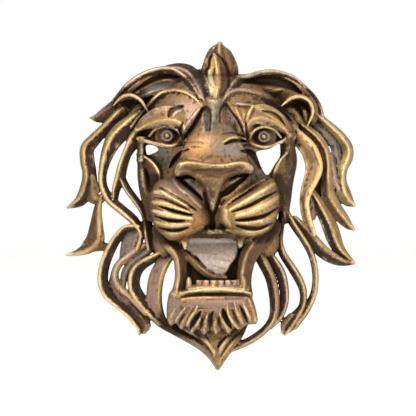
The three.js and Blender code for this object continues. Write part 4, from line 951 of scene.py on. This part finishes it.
def lock_maps(block, lock):
    """Top and underside of a lock, which thins towards a narrow tip."""
    where, x, z = block.flat_patch(lock["path"], max(row[2] for row in lock["path"]) + 3)
    way = Way(lock["path"], x, z)
    across, kept = over_width(way)
    fall = fall_of(way, lock["crest"], lock["drop"])
    lift = np.interp(way.share, [0, 0.5, 1], lock["lift"])
    count = lock.get("flutes", 0)
    flutes = FLUTE_DEPTH * count ** 0.5 * np.cos(across * math.pi * count)
    top = ground(x, z) + lift - fall + flutes * kept
    deep = LOCK_THICKNESS * (0.35 + 0.65 * np.minimum(1, way.half / 2))
    bottom = ground(x, z) + lift - deep - 0.3 * lock["drop"]
    return where, way, top, bottom


def ridge_maps(block, ridge):
    """Top and underside of a ridge, whose rows give how far out its crest is."""
    where, x, z = block.flat_patch(ridge["path"], max(row[2] for row in ridge["path"]) + 3)
    way = Way(ridge["path"], x, z, 0.6)
    top = way.level - fall_of(way, ridge["crest"], ridge["drop"])
    return where, way, top, way.level - ridge["deep"]


def lump(block, middle, radii, turn=0.0, blend=2.0, hollow=False):
    """An egg, joined or scooped out."""
    reach = max(radii) + blend + 4
    where, x, z, h = block.deep_patch([m - reach for m in middle], [m + reach for m in middle])
    a = math.radians(turn)
    u = (x - middle[0]) * math.cos(a) + (z - middle[1]) * math.sin(a)
    v = (z - middle[1]) * math.cos(a) - (x - middle[0]) * math.sin(a)
    w = h - middle[2]
    size = np.sqrt((u / radii[0]) ** 2 + (v / radii[1]) ** 2 + (w / radii[2]) ** 2)
    slope = np.sqrt((u / radii[0] ** 2) ** 2 + (v / radii[1] ** 2) ** 2 + (w / radii[2] ** 2) ** 2)
    distance = size * (size - 1) / np.maximum(slope, 1e-6)
    (block.cut if hollow else block.join)(where, distance, blend)


def bar(block, rows, blend=USUAL_BLEND):
    """A round bar along rows of (x, z, h, half width, half depth), with square ends."""
    line, _ = curve(rows, 0.9)
    reach = line[:, 3:].max() + blend + 2
    low, high = line[:, :3].min(0) - reach, line[:, :3].max(0) + reach
    where, x, z, h = block.deep_patch(low, high)
    nearest = np.full((x.shape[0], z.shape[1], h.shape[2]), EMPTY, np.float32)
    for lx, lz, lh, half, deep in line.astype(np.float32):
        flat = (x - lx) ** 2 + (z - lz) ** 2
        nearest = np.minimum(nearest, np.sqrt(flat + ((h - lh) * (half / deep)) ** 2) - half)
    for end, before in ((line[0], line[1]), (line[-1], line[-2])):
        outward = (end[:2] - before[:2]) / np.hypot(*(end[:2] - before[:2]))
        past = (x - end[0]) * outward[0] + (z - end[1]) * outward[1]
        nearest = np.maximum(nearest, past.astype(np.float32))
    block.join(where, nearest, blend)


def cushion(block, outline, top, slope, border, fall, deep=34.0, blend=2.5):
    """A body with a rounded border and a top that slopes up the face."""
    edge_line = outline_of(outline)
    where, x, z = block.flat_patch(edge_line, 4)
    edge = outline_distance(edge_line, x, z)
    inward = np.clip(-edge / border, 0, 1)
    middle = np.mean([row[1] for row in outline])
    height = top + slope * (z - middle) - fall * (1 - np.sqrt(1 - (1 - inward) ** 2))
    slab(block, where, edge, height, np.full(x.shape, top - deep), blend)


def hole(block, outline):
    """A hole right through, from the front to the wall."""
    edge_line = outline_of(outline)
    where, x, z = block.flat_patch(edge_line, 3)
    edge = outline_distance(edge_line, x, z)[:, :, None]
    block.cut((*where, slice(None)), np.broadcast_to(edge, (*edge.shape[:2], len(block.h))), 0.8)


def plate(block, outline, front):
    """A flat plate from the wall to its front."""
    edge_line = outline_of(outline)
    where, x, z = block.flat_patch(edge_line, 4)
    edge = outline_distance(edge_line, x, z)
    slab(block, where, edge, np.full(x.shape, front), np.full(x.shape, -4.0), 1.0)


def engrave(block, relief):
    """Moves the front surface in or out by the relief, in millimetres, and leaves the back alone."""
    moved_depth, fade = 9, 6
    front = block.front()
    i, j = np.nonzero((np.abs(relief) > 0.02) & np.isfinite(front))
    column = block.field[i, j]
    weight = np.clip((block.h[None, :] - front[i, j][:, None] + moved_depth) / fade, 0, 1)
    source = (block.h[None, :] - relief[i, j][:, None] * weight - block.h[0]) / GRAIN
    source = np.clip(source, 0, len(block.h) - 1.001)
    low = source.astype(int)
    part = source - low
    near, far = np.take_along_axis(column, low, 1), np.take_along_axis(column, low + 1, 1)
    block.field[i, j] = near + (far - near) * part


def relief_of_lines(block):
    """How far each place of the front is moved by the lines, the deepest one where they cross."""
    relief = np.zeros((len(block.x), len(block.z)))
    for depth, _, rows in LINES:
        where, x, z = block.flat_patch(rows, max(row[2] for row in rows) + 2)
        way = Way(rows, x, z, 0.5)
        shape = 1 - eased(way.reach / way.half, 0.35, 1.5)
        here = relief[where]
        relief[where] = np.where(np.abs(depth * shape) > np.abs(here), depth * shape, here)
    return relief


def carve_eyes(block):
    for x, z in EYES.values():
        lump(block, (x, z, SOCKET_H), SOCKET, blend=1.0, hollow=True)
    for x, z in EYES.values():
        lump(block, (x, z, EYEBALL_H), (EYEBALL_RADIUS,) * 3, blend=0.4)


def eye_relief(block, relief):
    """The ring round the iris, its dish and the raised pupil."""
    for ex, ez in EYES.values():
        where, x, z = block.flat_patch([(ex, ez)], IRIS_RADIUS + 2)
        reach = np.hypot(x - ex, z - ez)
        ring = 0.5 * np.exp(-((reach - IRIS_RADIUS) / 0.7) ** 2)
        dish = -0.5 * (1 - eased(reach, IRIS_RADIUS - 1.6, IRIS_RADIUS))
        pupil = 0.9 * (1 - eased(reach, PUPIL_RADIUS - 0.3, PUPIL_RADIUS + 0.6))
        relief[where] += ring + dish + pupil


def tooth_row(first, last, count, root, tip, rise, longest, h, bow, back, root_size, tip_size):
    """One tooth after the other, as bars from root to tip."""
    for share in np.linspace(0, 1, count):
        x = first + (last - first) * share
        out = h - bow * (share - 0.5) ** 2
        yield [(x, root, out, *root_size),
               (x, tip + rise * abs(share - longest), out - back, *tip_size)]


def teeth(block):
    for tooth in (*tooth_row(**UPPER_TEETH), *tooth_row(**LOWER_TEETH), *FANGS):
        bar(block, tooth, blend=TOOTH_BLEND)


def carve_back(block):
    """The flat pad that meets the wall, the hollow under it, and the flat of the wall itself."""
    radius = PAD_RADIUS / SCALE
    reach = radius + 4
    where, x, z, h = block.deep_patch((-reach, -reach, -4), (reach, reach, PAD_THICKNESS + 4))
    pad = np.maximum(np.hypot(x, z) - radius + 0 * h, h - PAD_THICKNESS)
    block.join(where, pad, 1.0)
    up = HOLLOW_HEIGHT / 2 / SCALE
    top = -(PAD_RADIUS + HOLLOW_BELOW_PAD) / SCALE
    lump(block, (SKULL["x"], top - up, 0), (HOLLOW_WIDTH / 2 / SCALE, up, HOLLOW_DEPTH), blend=1.5,
         hollow=True)
    wall = -block.h[None, None, :] + np.zeros(block.field.shape[:2])[:, :, None]
    block.field = soft_max(block.field, wall.astype(np.float32), 0.8)


def carve():
    """The whole carving: face, then hair, then lines, holes and back."""
    block = Block()
    lump(block, (SKULL["x"], SKULL["z"], SKULL["h"]), (SKULL["across"], SKULL["up"], SKULL["out"]))
    plate(block, SCALP, SCALP_FRONT)
    for x, z, h, across, up, out, turn, blend in MASSES.values():
        lump(block, (x, z, h), (across, up, out), turn, blend)
    for name, rows in BARS.items():
        bar(block, rows, BAR_BLEND.get(name, USUAL_BLEND))
    for cushioned in CUSHIONS.values():
        cushion(block, **cushioned)
    for fold in EAR_FOLDS.values():
        cushion(block, **fold, blend=EAR_BLEND)
    carve_eyes(block)
    teeth(block)
    laid = []
    for ridge in RIDGES.values():
        where, way, top, bottom = ridge_maps(block, ridge)
        slab(block, where, way.reach - way.half, top, bottom, ridge["blend"])
        laid.append((ridge, where, way, top))
    face_front = block.front()
    for lock in LOCKS.values():
        where, way, top, bottom = lock_maps(block, lock)
        slab(block, where, way.reach - way.half, top, bottom, 0.6)
        laid.append((lock, where, way, top))
    relief = relief_of_lines(block)
    eye_relief(block, relief)
    engrave(block, relief)
    for outline in OPENINGS.values():
        hole(block, outline)
    carve_back(block)
    return block, face_front, relief, laid


# From the carved block to a skin

def untangle(field):
    """Fills places where two edges would only touch, so that the skin stays one sheet."""
    for _ in range(4):
        changed = 0
        for first, second in ((0, 1), (0, 2), (1, 2)):
            corner = [[slice(None)] * 3 for _ in range(4)]
            for k, (a, b) in enumerate(((0, 0), (1, 1), (1, 0), (0, 1))):
                corner[k][first] = slice(a, field.shape[first] - 1 + a)
                corner[k][second] = slice(b, field.shape[second] - 1 + b)
            solid = [field[tuple(c)] < 0 for c in corner]
            crossed = (solid[0] == solid[1]) & (solid[2] == solid[3]) & (solid[0] != solid[2])
            changed += int(crossed.sum())
            for c in corner:
                part = field[tuple(c)]
                part[crossed & (part >= 0)] = -0.05 * GRAIN
        if not changed:
            break


def skin_of(block):
    """The surface as points and four-sided faces, with one point in each cell that it passes through."""
    field = block.field
    untangle(field)
    solid = field < 0
    corners = [(a, b, c) for a in (0, 1) for b in (0, 1) for c in (0, 1)]
    size = np.array(field.shape) - 1
    inside = np.zeros(size, np.int8)
    for a, b, c in corners:
        inside += solid[a:a + size[0], b:b + size[1], c:c + size[2]]
    cells = np.argwhere((inside > 0) & (inside < 8))
    number = np.full(size, -1, np.int64)
    number[tuple(cells.T)] = np.arange(len(cells))
    value = {k: field[tuple((cells + k).T)] for k in corners}
    total = np.zeros((len(cells), 3))
    count = np.zeros(len(cells))
    for k in corners:
        for axis in range(3):
            if k[axis]:
                continue
            other = tuple(v + (n == axis) for n, v in enumerate(k))
            a, b = value[k], value[other]
            hit = (a < 0) != (b < 0)
            t = np.where(hit, a / np.where(hit, a - b, 1), 0)
            spot = np.array(k, float)[None] + np.eye(3)[axis] * t[:, None]
            total += spot * hit[:, None]
            count += hit
    origin = np.array([block.x[0], block.z[0], block.h[0]])
    points = origin + GRAIN * (cells + total / count[:, None])
    faces = []
    for axis in range(3):
        u, v = [n for n in range(3) if n != axis]
        ahead = [slice(None)] * 3
        ahead[axis] = slice(1, None)
        behind = [slice(None)] * 3
        behind[axis] = slice(0, -1)
        change = solid[tuple(behind)].astype(np.int8) - solid[tuple(ahead)]
        edges = np.argwhere(change != 0)
        leaving = change[tuple(edges.T)] > 0
        du, dv = np.eye(3, dtype=int)[u], np.eye(3, dtype=int)[v]
        ring = [number[tuple((edges - s * du - t * dv).T)] for s, t in ((0, 0), (1, 0), (1, 1), (0, 1))]
        quad = np.stack(ring, 1)
        flip = leaving if axis == 1 else ~leaving
        quad[flip] = quad[flip][:, ::-1]
        faces.append(quad)
    return points, np.vstack(faces)


def mesh_of(name, points, faces):
    """A mesh from points and faces that all have as many corners."""
    mesh = bpy.data.meshes.new(name)
    mesh.vertices.add(len(points))
    mesh.vertices.foreach_set("co", np.ascontiguousarray(points, np.float32).ravel())
    corners = faces.shape[1]
    mesh.loops.add(faces.size)
    mesh.loops.foreach_set("vertex_index", faces.astype(np.int32).ravel())
    mesh.polygons.add(len(faces))
    mesh.polygons.foreach_set("loop_start", np.arange(0, faces.size, corners, dtype=np.int32))
    mesh.update(calc_edges=True)
    return mesh


def thinned(mesh, most):
    """The same skin with fewer triangles."""
    piece = bpy.data.objects.new("carved_skin", mesh)
    bpy.context.scene.collection.objects.link(piece)
    fewer = piece.modifiers.new("fewer", "DECIMATE")
    fewer.ratio = most / (2 * len(mesh.polygons))
    result = bpy.data.meshes.new_from_object(piece.evaluated_get(bpy.context.evaluated_depsgraph_get()))
    bpy.data.objects.remove(piece)
    return result


def without_bubbles(mesh):
    """The largest shell of the skin alone, without collapsed faces or small voids in the casting."""
    skin = bmesh.new()
    skin.from_mesh(mesh)
    bmesh.ops.dissolve_degenerate(skin, dist=SHORTEST_EDGE, edges=skin.edges)
    left = set(skin.verts)
    shells = []
    while left:
        shell = [left.pop()]
        for vertex in shell:
            for edge in vertex.link_edges:
                other = edge.other_vert(vertex)
                if other in left:
                    left.remove(other)
                    shell.append(other)
        shells.append(shell)
    shells.sort(key=len)
    bubbles = [vertex for shell in shells[:-1] for vertex in shell]
    bmesh.ops.delete(skin, geom=bubbles, context="VERTS")
    skin.to_mesh(mesh)
    skin.free()
    return mesh


def placed(points):
    """From the drawing, in x, z and h, to metres: what stands out is drawn in towards the eye line."""
    x, z, h = points.T
    drawn_in = 1 - h / VIEWING_DISTANCE
    across = (EYE_LINE_X + (x - EYE_LINE_X) * drawn_in) * SCALE
    up = (EYE_LINE_Z + (z - EYE_LINE_Z) * drawn_in) * SCALE
    return np.stack([across, -h, up], 1) / 1000


# Paint

def linear(hex_colour):
    """sRGB hex to linear red, green and blue."""
    parts = [int(hex_colour[i:i + 2], 16) / 255 for i in (1, 3, 5)]
    return tuple(c / 12.92 if c <= 0.04045 else ((c + 0.055) / 1.055) ** 2.4 for c in parts)


def paint(name):
    """A paint of the list, as linear colour."""
    return np.array(linear(PAINTS[name]))


def blurred(volume, radius):
    """Average over a small cube, taken twice."""
    width = max(1, int(round(radius / GRAIN)))
    result = volume
    for _ in range(2):
        for axis in range(result.ndim):
            margins = [(width + 1, width) if a == axis else (0, 0) for a in range(result.ndim)]
            padded = np.pad(result, margins, mode="edge")
            total = np.cumsum(padded, axis=axis, dtype=np.float64).astype(np.float32)
            count = 2 * width + 1
            first = [slice(None)] * result.ndim
            first[axis] = slice(0, -count)
            last = [slice(None)] * result.ndim
            last[axis] = slice(count, None)
            result = (total[tuple(last)] - total[tuple(first)]) / count
    return result


def widest(front, radius):
    """The highest front within a square window."""
    width = int(round(radius / GRAIN))
    result = np.where(np.isfinite(front), front, -10)
    for axis in (0, 1):
        padded = np.pad(result, [(width, width) if a == axis else (0, 0) for a in (0, 1)], mode="edge")
        views = np.lib.stride_tricks.sliding_window_view(padded, 2 * width + 1, axis=axis)
        result = views.max(axis=-1)
    return result


def sample(volume, block, points):
    """The value of a map or a volume at the place of the grid nearest to each point."""
    ticks = (block.x, block.z, block.h)[:volume.ndim]
    index = []
    for axis, tick in enumerate(ticks):
        spot = np.rint((points[:, axis] - tick[0]) / GRAIN).astype(int)
        index.append(np.clip(spot, 0, volume.shape[axis] - 1))
    return volume[tuple(index)]


def lay_over(colour, name, amount):
    """Lays a paint over what is there, by an amount from 0 to 1 at each point."""
    colour += (paint(name) - colour) * amount[:, None]


def paint_strokes(colour, points, forward, strokes):
    """Strokes of a narrow brush along rows of (x, z, half width)."""
    margin = 4
    for name, strength, rows in strokes:
        p = np.asarray(rows, float)
        low, high = p[:, :2].min(0) - margin, p[:, :2].max(0) + margin
        near = np.nonzero((points[:, 0] > low[0]) & (points[:, 0] < high[0])
                          & (points[:, 1] > low[1]) & (points[:, 1] < high[1]) & forward)[0]
        if not len(near):
            continue
        way = Way(rows, points[near, 0], points[near, 1], 0.6)
        amount = strength * (1 - eased(way.reach / way.half, 0.5, 1.7))
        colour[near] += (paint(name) - colour[near]) * amount[:, None]


def paint_fields(colour, points, allowed, fields):
    """Broad oval touches of paint, soft at their border."""
    for x, z, across, up, turn, name, strength in fields:
        a = math.radians(turn)
        dx, dz = points[:, 0] - x, points[:, 1] - z
        u = (dx * math.cos(a) + dz * math.sin(a)) / across
        v = (dz * math.cos(a) - dx * math.sin(a)) / up
        lay_over(colour, name, strength * (1 - eased(np.hypot(u, v), 0.45, 1.25)) * allowed)


def paint_eyes(colour, points, allowed):
    """Painted shade in the socket round the eye, a light ring for the iris, a painted highlight on the
    pupil.
    """
    for x, z in EYES.values():
        reach = np.hypot(points[:, 0] - x, points[:, 1] - z)
        for name, amount in (("umber", 1 - eased(reach, 4.5, 8.5)),
                             ("rose", 0.5 * np.exp(-((reach - 0.8 * IRIS_RADIUS) / 0.6) ** 2)),
                             ("rose", 0.8 * (1 - eased(reach, 0.5 * PUPIL_RADIUS, 1.2 * PUPIL_RADIUS)))):
            lay_over(colour, name, amount * allowed)


def paint_locks(block, laid, points, drawn, off_face, colour, lay):
    """Paints the outer side, crest and inner face of each lock and ridge, and tells where they are."""
    nearest = np.where(off_face < ON_FACE, off_face + LOCK_FIRST, ON_LOCK)
    on_lock = np.zeros(len(points), bool)
    for number, (piece, where, way, top) in enumerate(laid):
        i = np.rint((points[:, 0] - block.x[where[0].start]) / GRAIN).astype(int)
        j = np.rint((points[:, 1] - block.z[where[1].start]) / GRAIN).astype(int)
        within = np.nonzero((i >= 0) & (j >= 0) & (i < top.shape[0]) & (j < top.shape[1]))[0]
        i, j = i[within], j[within]
        gap = np.abs(drawn[within] - top[i, j])
        edge = (way.reach - way.half)[i, j]
        mine = (edge < LOCK_MARGIN) & (gap < nearest[within])
        chosen = within[mine]
        i, j = i[mine], j[mine]
        nearest[chosen] = gap[mine]
        on_lock[chosen] = True
        crest = piece["crest"]
        inner = -1 if crest > 0 else 1
        off_crest = (way.side[i, j] - crest * way.half[i, j]) * inner
        # A light crest paint is partly a painted highlight, and a dark inner face paint partly painted
        # shade
        outer_paint, crest_paint, inner_paint = (paint(name) for name in piece["paints"])
        rim = piece["rim"] * RIM_SHARE
        to_crest = eased(off_crest, -rim - 1.0, -rim * 0.4)[:, None]
        to_inner = eased(off_crest, rim * 0.3, rim + 0.5)[:, None]
        mixed = outer_paint * (1 - to_crest) + crest_paint * to_crest
        colour[chosen] = mixed * (1 - to_inner) + inner_paint * to_inner
        lay[chosen] = np.stack([way.side[i, j], way.run[i, j], np.full(len(i), number * NEXT_LOCK)], 1)
    return on_lock


def solid_share(block, points, reach):
    """How much of what is round each point is solid: little on an edge, much in a crease."""
    return sample(blurred((block.field < 0).astype(np.float32), reach), block, points)


def wash_and_shade_of(block, points, on_face, fronting, between_jaws):
    """The dark wash in creases and hollows, which is partly painted shade, painted shadow under what
    stands out, and painted shade away from the front.
    """
    wash_and_shade_share = 0
    for place in (CREASES, HOLLOWS):
        wash_and_shade_share = wash_and_shade_share + place["strength"] * eased(solid_share(block, points, place["reach"]),
                                                place["start"], place["full"])
    # painted shadow under what stands out beside a point
    hood = sample(blurred(widest(block.front(), OVERHANG["reach"]), OVERHANG["softness"]), block, points)
    under = eased(hood - points[:, 2], OVERHANG["start"], OVERHANG["full"])
    wash_and_shade_share += np.where(on_face, OVERHANG["on_face"], OVERHANG["on_hair"]) * under
    # painted shade where a point is not on the front of the face or of a lock
    wash_and_shade_share = np.clip(wash_and_shade_share + np.where(fronting, 0, SHADE_ON_SIDES), 0, 1)
    return np.where(between_jaws, WASH_AND_SHADE_IN_MOUTH, 1) * wash_and_shade_share


def paint_of(block, face_front, relief, laid, points):
    """Paint, wash and painted shade, wear and lay of the hair for each point of the skin."""
    x, z, h = points.T
    drawn = h - sample(relief, block, points)
    off_face = np.abs(drawn - sample(np.nan_to_num(face_front, nan=-50), block, points))
    face_share = 1 - eased(off_face, *FACE_FADE)

    colour = np.tile(paint("brown"), (len(points), 1))
    lay_over(colour, "bronze", face_share)
    lay = np.stack([FACE_LAY[0] * x, FACE_LAY[1] * z, np.zeros(len(points))], 1)
    on_lock = paint_locks(block, laid, points, drawn, off_face, colour, lay)
    on_face = (off_face < ON_FACE) & ~on_lock
    fronting = on_face | on_lock

    paint_fields(colour, points, face_share * ~on_lock, FIELDS)
    between_jaws = (~on_lock & (h < MOUTH["front"]) & (np.abs(x - MOUTH["x"]) < MOUTH["half"])
                    & (z < MOUTH["top"]) & (z > MOUTH["foot"]))
    tinted = on_face & between_jaws & (h > MOUTH["back"]) & ((h < TONGUE_FRONT) | (z < TEETH_TOP))
    paint_fields(colour, points, tinted.astype(float), MOUTH_TINTS)
    cut_strength, raised_strength = 0.95, 0.75
    lines = [(name, cut_strength if depth < 0 else raised_strength, rows) for depth, name, rows in LINES]
    paint_strokes(colour, points, fronting, lines)
    paint_strokes(colour, points, fronting, BRUSHED_AND_LIT_EDGES)
    paint_eyes(colour, points, on_face)

    # the dark wash of the finish, with painted shade in the hollows and off the front and painted shadow
    # under what stands out
    wash_and_shade = wash_and_shade_of(block, points, on_face, fronting, between_jaws)
    at_back = 1 - eased(h - sample(block.back(), block, points), *BACK_SKIN)
    lay_over(colour, "brown", at_back)
    lay *= 1 - at_back[:, None]
    wash_and_shade *= 1 - WASH_AND_SHADE_TAKEN_FROM_BACK * at_back
    sharp = eased(EDGES["share"] - solid_share(block, points, EDGES["reach"]), 0.0, EDGES["over"])
    wear = sharp * (1 - wash_and_shade) * np.where(fronting, 1, EDGES["on_sides"])
    return colour, wash_and_shade, wear, lay


# Finish

def add_node(tree, kind, settings=None, values=None, links=None):
    """Adds a node with its settings, its socket values and the links into it."""
    node = tree.nodes.new(kind)
    for key, value in (settings or {}).items():
        setattr(node, key, value)
    for key, value in (values or {}).items():
        node.inputs[key].default_value = value
    for key, source in (links or {}).items():
        tree.links.new(source, node.inputs[key])
    return node


def bronze_painted_resin():
    """Cast resin, sprayed a dark brown, washed with umber, and dry-brushed with bronze and gold by hand.

    The wash stays in the creases, where it looks dull and nearly black; the same darkening is also
    painted shade in hollows, painted shadow under what stands out, and painted shade away from the front.
    The dry brush catches the raised edges and leaves bright streaks that run with the hair, over patches
    of uneven paint. The metal powder in the paint gives a soft sheen that fades towards the creases, and
    the cast surface is finely pitted.
    """
    material = bpy.data.materials.new("bronze_painted_resin")
    material.use_nodes = True
    tree = material.node_tree
    shader = tree.nodes["Principled BSDF"]
    finish = add_node(tree, "ShaderNodeAttribute", {"attribute_name": "paint"})
    # the share of dark wash and painted shade at each point
    wash_and_shade = add_node(tree, "ShaderNodeAttribute", {"attribute_name": "wash_and_shade"})
    wear = add_node(tree, "ShaderNodeAttribute", {"attribute_name": "wear"})
    lay = add_node(tree, "ShaderNodeAttribute", {"attribute_name": "lay"})
    place = add_node(tree, "ShaderNodeTexCoord")

    # The lay is in millimetres and the object in metres, so each scale is one over the size in its unit
    strand = add_node(tree, "ShaderNodeMapping",
                      values={"Scale": (1 / STREAK_WIDTH, 1 / STREAK_LENGTH, 1.0)},
                      links={"Vector": lay.outputs["Vector"]})
    brushed = add_node(tree, "ShaderNodeTexNoise", values={"Scale": 1.0, "Detail": 4.0, "Roughness": 0.6},
                       links={"Vector": strand.outputs["Vector"]})
    patches = add_node(tree, "ShaderNodeTexNoise",
                       values={"Scale": 1000 / PATCH_SIZE, "Detail": 5.0, "Roughness": 0.62},
                       links={"Vector": place.outputs["Object"]})
    pits = add_node(tree, "ShaderNodeTexNoise",
                    values={"Scale": 1000 / PIT_SIZE, "Detail": 3.0, "Roughness": 0.6},
                    links={"Vector": place.outputs["Object"]})

    # The streaks and patches make the paint a little darker or lighter
    streak_tone = add_node(tree, "ShaderNodeMapRange",
                           values={"From Min": 0.3, "From Max": 0.7, "To Min": 0.72, "To Max": 1.2},
                           links={"Value": brushed.outputs["Fac"]})
    patch_tone = add_node(tree, "ShaderNodeMapRange",
                          values={"From Min": 0.3, "From Max": 0.7, "To Min": 0.78, "To Max": 1.16},
                          links={"Value": patches.outputs["Fac"]})
    tone = add_node(tree, "ShaderNodeMath", {"operation": "MULTIPLY"},
                    links={0: streak_tone.outputs["Result"], 1: patch_tone.outputs["Result"]})
    toned = add_node(tree, "ShaderNodeVectorMath", {"operation": "SCALE"},
                     links={0: finish.outputs["Color"], "Scale": tone.outputs["Value"]})

    # The wash and painted shade get an uneven border, because the patches shift it by up to a quarter
    wash_and_shade_edge = add_node(tree, "ShaderNodeMath", {"operation": "MULTIPLY_ADD"}, {1: 0.5, 2: -0.25},
                         {0: patches.outputs["Fac"]})
    wash_and_shade_share = add_node(tree, "ShaderNodeMath", {"operation": "ADD", "use_clamp": True},
                    links={0: wash_and_shade.outputs["Fac"], 1: wash_and_shade_edge.outputs["Value"]})
    # A mixer of colours has its share in socket 0, its colours in 6 and 7, and gives the mix at 2
    washed_and_shaded = add_node(tree, "ShaderNodeMix", {"data_type": "RGBA"}, {7: (*linear(PAINTS["umber"]), 1)},
                      {0: wash_and_shade_share.outputs["Value"], 6: toned.outputs["Vector"]})

    # The dry brush leaves pale gold only where an edge is sharp and a streak of bristles touched it
    brush_hits = add_node(tree, "ShaderNodeMapRange", values={"From Min": 0.32, "From Max": 0.8},
                          links={"Value": brushed.outputs["Fac"]})
    rubbed = add_node(tree, "ShaderNodeMath", {"operation": "MULTIPLY", "use_clamp": True},
                      links={0: wear.outputs["Fac"], 1: brush_hits.outputs["Result"]})
    dry_brushed = add_node(tree, "ShaderNodeMix", {"data_type": "RGBA"},
                           {7: (*linear(PAINTS["pale"]), 1)},
                           {0: rubbed.outputs["Value"], 6: washed_and_shaded.outputs[2]})
    tree.links.new(dry_brushed.outputs[2], shader.inputs["Base Color"])

    # Bare paint has a satin sheen, and it is matt where the wash and painted shade lie
    rough = add_node(tree, "ShaderNodeMapRange", values={"To Min": 0.52, "To Max": 0.85},
                     links={"Value": wash_and_shade_share.outputs["Value"]})
    tree.links.new(rough.outputs["Result"], shader.inputs["Roughness"])
    shine = add_node(tree, "ShaderNodeMapRange", values={"To Min": 0.5, "To Max": 0.15},
                     links={"Value": wash_and_shade_share.outputs["Value"]})
    tree.links.new(shine.outputs["Result"], shader.inputs["Specular IOR Level"])
    shader.inputs["Metallic"].default_value = 0.65

    # Streaks of thick paint over the pits of the casting
    strokes = add_node(tree, "ShaderNodeBump", values={"Strength": 0.35, "Distance": 0.0006},
                       links={"Height": brushed.outputs["Fac"]})
    pitted = add_node(tree, "ShaderNodeBump", values={"Strength": 0.25, "Distance": 0.0003},
                      links={"Height": pits.outputs["Fac"], "Normal": strokes.outputs["Normal"]})
    tree.links.new(pitted.outputs["Normal"], shader.inputs["Normal"])
    return material


def matt_white_paint():
    """Matt white paint, rolled on evenly, so the floor shows no pattern."""
    material = bpy.data.materials.new("matt_white_paint")
    material.use_nodes = True
    shader = material.node_tree.nodes["Principled BSDF"]
    shader.inputs["Base Color"].default_value = (*linear("#FCFCFB"), 1)
    shader.inputs["Roughness"].default_value = 0.9
    return material


# The mask

def set_attribute(mesh, name, kind, values):
    """Gives each point of the mesh a value that the finish reads."""
    layer = mesh.attributes.new(name, kind, "POINT")
    key = {"FLOAT": "value", "FLOAT_VECTOR": "vector", "FLOAT_COLOR": "color"}[kind]
    layer.data.foreach_set(key, np.ascontiguousarray(values, np.float32).ravel())


def lion_mask():
    """The carved and painted mask as one skin, kept inside the box of the plain casting."""
    block, face_front, relief, laid = carve()
    points, faces = skin_of(block)
    mesh = without_bubbles(thinned(mesh_of("carved", points, faces), MOST_TRIANGLES))
    points = np.empty(len(mesh.vertices) * 3, np.float32)
    mesh.vertices.foreach_get("co", points)
    points = points.reshape(-1, 3).astype(float)
    colour, wash_and_shade, wear, lay = paint_of(block, face_front, relief, laid, points)
    set_attribute(mesh, "paint", "FLOAT_COLOR", np.c_[colour, np.ones(len(colour))])
    # the share of dark wash and painted shade, read by the finish
    set_attribute(mesh, "wash_and_shade", "FLOAT", wash_and_shade)
    set_attribute(mesh, "wear", "FLOAT", wear)
    set_attribute(mesh, "lay", "FLOAT_VECTOR", lay)
    low, high = (np.array(corner) for corner in cad_box)
    mesh.vertices.foreach_set("co", np.clip(placed(points), low, high).astype(np.float32).ravel())
    mesh.shade_smooth()
    mesh.materials.clear()
    mesh.materials.append(bronze_painted_resin())
    mesh.update()
    mask = bpy.data.objects.new("lion_mask_skin", mesh)
    bpy.context.scene.collection.objects.link(mask)
    return mask


mask = lion_mask()
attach(mask, "root")
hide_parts("lion_head_mask")


# Floor, light and camera

LIGHT_AIM = (0, -0.03, -0.08)


def pale_floor():
    mesh = bpy.data.meshes.new("pale_floor")
    reach, level = 6.0, -0.32
    mesh.from_pydata([(-reach, -reach, level), (reach, -reach, level), (reach, reach, level),
                      (-reach, reach, level)], [], [(0, 1, 2, 3)])
    mesh.materials.append(matt_white_paint())
    floor = bpy.data.objects.new("pale_floor", mesh)
    bpy.context.scene.collection.objects.link(floor)
    return floor


def soft_light(name, place, size, watts):
    lamp = bpy.data.lights.new(name, "AREA")
    lamp.shape = "DISK"
    lamp.size = size
    lamp.energy = watts
    light = bpy.data.objects.new(name, lamp)
    light.location = place
    aim = Vector(LIGHT_AIM) - Vector(place)
    light.rotation_euler = aim.to_track_quat("-Z", "Y").to_euler()
    bpy.context.scene.collection.objects.link(light)


pale_floor()
soft_light("key_light", (-0.5, -0.9, 1.1), 0.7, 26)
soft_light("fill_light", (0.9, -1.0, 0.3), 1.0, 9)

world = bpy.data.worlds.new("white_studio")
world.use_nodes = True
world.node_tree.nodes["Background"].inputs["Color"].default_value = (1, 1, 1, 1)
world.node_tree.nodes["Background"].inputs["Strength"].default_value = 1.0
bpy.context.scene.world = world
bpy.context.scene.view_settings.view_transform = "Standard"

lens = bpy.data.cameras.new("camera")
lens.sensor_width = 36.0
lens.lens = 36.0 * VIEWING_DISTANCE / PICTURE_WIDTH
lens.clip_start = 0.01
camera = bpy.data.objects.new("camera", lens)
camera.location = (EYE_LINE_X * SCALE / 1000, -VIEWING_DISTANCE / 1000, EYE_LINE_Z * SCALE / 1000)
camera.rotation_euler = (math.pi / 2, 0, 0)
bpy.context.scene.collection.objects.link(camera)
bpy.context.scene.camera = camera
